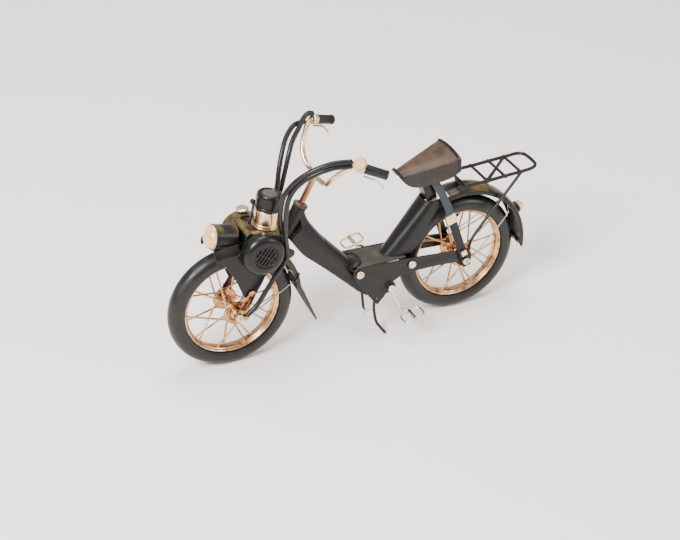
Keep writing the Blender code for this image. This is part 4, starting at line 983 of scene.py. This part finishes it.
def makePillar():
    # a U-shaped sheet: outside y = 9.5 cos t, depth = 11 - 11 sin t, and straight flanges behind
    foot, top = np.array((119.2, 59.6)), np.array((153.2, 101.2))
    along = unit(top - foot)
    back = np.array((along[1], -along[0]))
    t = np.linspace(0, np.pi, 41)
    outer = np.stack((9.5 * np.cos(t), 11.0 - 11.0 * np.sin(t)), -1)
    inner = np.stack((8.6 * np.cos(t), 11.0 - 10.1 * np.sin(t)), -1)
    section = np.vstack(((9.5, 19.3), outer, (-9.5, 19.3), (-9.25, 19.55), (-8.85, 19.55),
        (-8.6, 19.3), inner[::-1], (8.6, 19.3), (8.85, 19.55), (9.25, 19.55)))
    rings = []
    for share in np.linspace(0, 1, 9):
        end = foot + (top - foot) * share
        slope = back * (1 - share) + np.array((0.985, 0.17)) * share
        reach = 1.0 - 0.22 * share
        # the foot is cut level with the platform, so its ring slides down the pillar to z 61.8
        point = end + section[:, 1:] * slope * reach
        if share == 0:
            point = point + along * ((61.8 - point[:, 1:]) / along[1])
        rings.append(np.column_stack((point[:, 0], section[:, 0], point[:, 1])))
    makePiece("pillar_folded", [surface(np.array(rings), closeV=True, capU=True)],
        satinEnamel("pillarEnamel", upward=0.1, worn=0.4, rough=0.3), "frame", ["seat_pillar"])


def makeSaddle():
    stations = [(133.2, 5.4, 127.6, 124.6), (137.5, 6.6, 129.0, 120.0), (143.0, 8.2, 130.4, 117.4),
        (150.0, 9.9, 132.2, 117.6), (163.0, 13.2, 135.6, 120.6), (171.5, 15.3, 137.9, 123.8),
        (175.0, 16.1, 138.7, 127.0)]
    rings = []
    for x, half, top, low in stations:
        side = np.array([(half, low), (half, low * 0.6 + top * 0.4), (half, top - 3.1),
            (half - 0.2, top - 2.4), (half - 0.8, top - 1.9), (half - 2.0, top - 1.4),
            (half * 0.45, top - 0.2)])
        ring = np.vstack((side * (-1, 1), (0, top + 0.2), side[::-1]))
        rings.append(np.column_stack((np.full(len(ring), x), ring[:, 0], ring[:, 1])))
    makePiece("saddle_skin", [guardShell(np.array(rings), 0.9, fine=8)], saddlePaint, "frame",
        ["saddle"], sharp=50)
    end, nose = rings[-1], rings[0]
    edge = curveThrough(end, 5)
    path, size = roundEnds(edge, 0.7)
    rim = carry(path + (0.2, 0, 0.5), circle(1.45, 14), (1, 0, 0), size)
    front = np.array([(132.9, -6.1, 126.6), (132.6, -5.4, 127.6), (132.4, -3, 128.1),
        (132.3, 0, 128.2), (132.4, 3, 128.1), (132.6, 5.4, 127.6), (132.9, 6.1, 126.6)])
    path, size = roundEnds(curveThrough(front), 0.8)
    lip = carry(path, circle(1.3, 14), (1, 0, 0), size)
    makePiece("saddle_rolled_edges", [rim, lip], plainEnamel, "frame")
    for name, hand in sides:
        makePiece("strap_foot_nut_" + name, [turnedBox((183.1, 17.0 * hand, 55.8), (4.6, 2.4, 4.6),
            -20, 0.5)], paleBrass, "frame")
    makePiece("saddle_post", [turnedBox((156.3, 0, 113.6), (8.6, 12.0, 25.0), -18, 0.8)],
        plainEnamel, "frame", ["saddle_block"])
    for name, hand in sides:
        route = np.array([(157.4, 8.4, 122.0), (160.2, 10.0, 116.6), (164.8, 12.0, 107.6),
            (169.0, 14.0, 97.2), (170.6, 15.0, 90.0), (174.6, 15.0, 79.4), (179.7, 15.0, 64.6),
            (183.3, 15.0, 54.0), (185.5, 15.0, 48.0), (187.3, 15.0, 42.6)]) * (1, hand, 1)
        path = curveThrough(route, 6)
        makePiece("seat_strap_" + name, [carry(path[:27], roundedBar(1.4, 6.2, 0.5), alongY)],
            strapEnamel, "frame", ["seat_stay_" + name])
        makePiece("seat_strap_lower_" + name, [carry(path[24:], roundedBar(1.5, 6.6, 0.5), alongY)],
            plainEnamel, "frame")
        makePiece("strap_clamp_" + name, [turnedBox((171.2, 15.0 * hand, 87.6), (8.4, 3.8, 8.2),
            -20, 0.5)], paleBrass, "frame", ["stay_clamp_" + name])


def makeRack():
    rail = 12.5
    loop = [(178.0, rail, 110.6), (190.0, rail, 111.0), (205.0, rail, 111.4), (220.0, rail, 112.2),
        (234.0, rail, 112.9), (241.0, rail - 0.5, 113.5), (245.0, rail - 3.4, 113.8),
        (246.0, rail - 8.0, 114.0)]
    ring = curveThrough(loop + [(x, -y, z) for x, y, z in reversed(loop)], 8)
    path, size = roundEnds(ring, 0.8)
    shapes = [carry(path, circle(1.35, 14), alongZ, size)]
    crossBars = [((184.0, rail + 1.6, 110.8), (184.0, -rail - 1.6, 110.8)),
        ((202.0, rail + 1.6, 111.3), (202.0, -rail - 1.6, 111.3)),
        ((230.4, rail + 1.6, 112.7), (230.4, -rail - 1.6, 112.7)),
        ((203.0, -rail + 0.6, 111.3), (229.4, rail - 0.6, 112.7)),
        ((217.0, rail + 1.6, 112.0), (217.0, -rail - 1.6, 112.0))]
    for start, end in crossBars:
        path, size = roundEnds(np.array((start, np.add(start, end) / 2, end)), 0.5)
        shapes.append(carry(path, circle(1.15, 12), alongZ, size))
    for name, hand in sides:
        strut = np.array([(230.2, 12.6, 112.6), (229.0, 12.6, 110.0), (215.9, 12.8, 94.0),
            (203.0, 13.4, 79.6), (190.6, 15.0, 65.4), (186.6, 17.2, 57.0)])
        shapes.append(carry(curveThrough(strut * (1, hand, 1)), circle(1.2, 12), alongY))
    shapes.append(turnedBox((184.0, 0, 108.6), (3.0, 6.0, 4.0), 0, 0.5))
    makePiece("rack_wires", shapes, plainEnamel, "frame", ["luggage_rack"])


makeBeam()
makeFrame()
makePillar()
makeSaddle()
makeRack()
print("frame made")


# cranks, pedals and stand
crankSize = {"centre": (123.2, 0, 39.4), "throw": 22.0, "angle": -59.0, "y": 21.3, "tilt": 16.0,
    "pedalY": 29.6}


def makeCranks():
    centre = np.array(crankSize["centre"])
    angle = math.radians(crankSize["angle"])
    shapes = [rodBetween(centre - alongY * 17, centre + alongY * 17, 1.6, 32)]
    for name, hand in sides:
        out = np.array((math.cos(angle), 0, math.sin(angle))) * -hand
        end = centre + out * crankSize["throw"] + alongY * hand * crankSize["y"]
        root = centre + alongY * hand * 16.6
        elbow = math.radians(180 * (hand > 0) - 71.0)
        knee = centre + (18 * math.cos(elbow), hand * crankSize["y"], 18 * math.sin(elbow))
        bend = curveThrough([root, root * 0.45 + knee * 0.55, knee, end, end + alongY * hand * 1.6],
            8)
        shapes.append(carry(bend, circle(0.95, 14), np.cross(out, alongY)))
        eye = rounded([(0, 0.3), (1.2, 0.3), (1.5, 2.0), (2.6, 2.0), (2.9, 1.4), (2.9, 0), (0, 0)],
            0.4)
        shapes.append(revolve(eye, centre + alongY * hand * 15.4, alongY * hand, 48))
        shapes.append(rodBetween(end - alongY * hand * 0.9, end + alongY * hand * 14.7, 0.75, 16))

        tilt = math.radians(crankSize["tilt"])
        lean = np.array((math.cos(tilt), 0, math.sin(tilt)))
        middle = end + alongY * hand * (crankSize["pedalY"] - crankSize["y"])
        corner = np.array([(-8.2, -3.8), (-6.2, -5.8), (6.2, -5.8), (8.2, -3.8), (8.2, 3.8),
            (6.2, 5.8), (-6.2, 5.8), (-8.2, 3.8)])
        frameLine = rounded(corner, 1.6, True)
        loop = middle + frameLine[:, :1] * lean + frameLine[:, 1:] * alongY * hand
        loop = loop[np.r_[True, np.linalg.norm(np.diff(loop, axis=0), axis=1) > 0.05]]
        tread = [carry(loop, circle(0.75, 12), np.cross(lean, alongY), closed=True)]
        sleeve = rounded([(1.05, 5.6), (1.75, 5.6), (1.75, -5.6), (1.05, -5.6)], 0.25, True)
        tread.append(revolve(sleeve, middle, alongY, 32, True))
        makePiece("pedal_wire_" + name, tread, silverWire if hand < 0 else brassWire,
            name + "_pedal", ["pedal_" + name])
    makePiece("crank_wire", shapes, silverWire, "crank", ["crank"])


def makeStand():
    half = [(111.5, 9.4, 30.5), (112.2, 9.9, 20.0), (113.8, 10.9, 9.4), (116.0, 14.0, 5.0),
        (118.8, 18.5, 1.2)]
    full = [(x, -y, z) for x, y, z in reversed(half)] + half
    path, size = roundEnds(curveThrough(full, 10)[2:-2], 0.5)
    pin = rodBetween((111.5, -13.6, 30.5), (111.5, 13.6, 30.5), 1.15, 24)
    makePiece("stand_wire", [carry(path, circle(1.1, 14), (1, 0, 0), size), pin], blackEnamel,
        "stand", ["stand"])


makeCranks()
makeStand()
print("cranks and stand made")


# floor, light and camera
studio = {"lens": 94.19, "place": (-0.50099, -0.99415, 0.76416), "azimuth": -26.193,
    "elevation": 32.613, "roll": 1.189}


def makeStudio():
    side = 6.0
    floor = bpy.data.meshes.new("floor")
    floor.from_pydata([(-side, -side, 0), (side, -side, 0), (side, side, 0), (-side, side, 0)], [],
        [(0, 1, 2, 3)])
    ground = bpy.data.objects.new("floor", floor)
    bpy.context.scene.collection.objects.link(ground)
    material, tree, shader, coords = startMaterial("paleFloor", Roughness=0.75)
    cloud = noiseOf(tree, coords, 400).outputs["Fac"]
    tree.links.new(mixed(tree, cloud, srgb("#fcf7ef"), srgb("#f5efe5")),
        shader.inputs["Base Color"])
    floor.materials.append(material)

    world = bpy.data.worlds.new("studio")
    world.use_nodes = True
    sky = world.node_tree.nodes["Background"]
    sky.inputs["Color"].default_value = srgb("#fbf7f1")
    sky.inputs["Strength"].default_value = 0.8
    bpy.context.scene.world = world
    lights = (("windowLight", (-1.0, -0.55, 1.15), 0.55, 46),
        ("ceilingLight", (0.1, 0.3, 1.9), 1.0, 30), ("fillLight", (0.9, -0.9, 0.7), 0.5, 7))
    for name, place, size, power in lights:
        data = bpy.data.lights.new(name, "AREA")
        data.size = size
        data.energy = power
        lamp = bpy.data.objects.new(name, data)
        lamp.location = place
        aim = unit(np.array(place) - (0, 0, 0.07))
        sideways = unit(np.cross(alongZ, aim))
        lamp.rotation_euler = Matrix(np.stack((sideways, np.cross(aim, sideways), aim),
            1)).to_euler()
        bpy.context.scene.collection.objects.link(lamp)

    a, e, r = (math.radians(studio[key]) for key in ("azimuth", "elevation", "roll"))
    back = np.array((math.sin(a) * math.cos(e), -math.cos(a) * math.cos(e), math.sin(e)))
    right = np.array((math.cos(a), math.sin(a), 0))
    up = np.cross(back, right)
    rolledRight = math.cos(r) * right + math.sin(r) * up
    rolledUp = math.cos(r) * up - math.sin(r) * right
    data = bpy.data.cameras.new("photoView")
    data.sensor_width = 36
    data.lens = studio["lens"]
    camera = bpy.data.objects.new("camera", data)
    camera.location = studio["place"]
    camera.rotation_euler = Matrix(np.stack((rolledRight, rolledUp, back), 1)).to_euler()
    bpy.context.scene.collection.objects.link(camera)
    bpy.context.scene.camera = camera


makeStudio()

print("stage set")
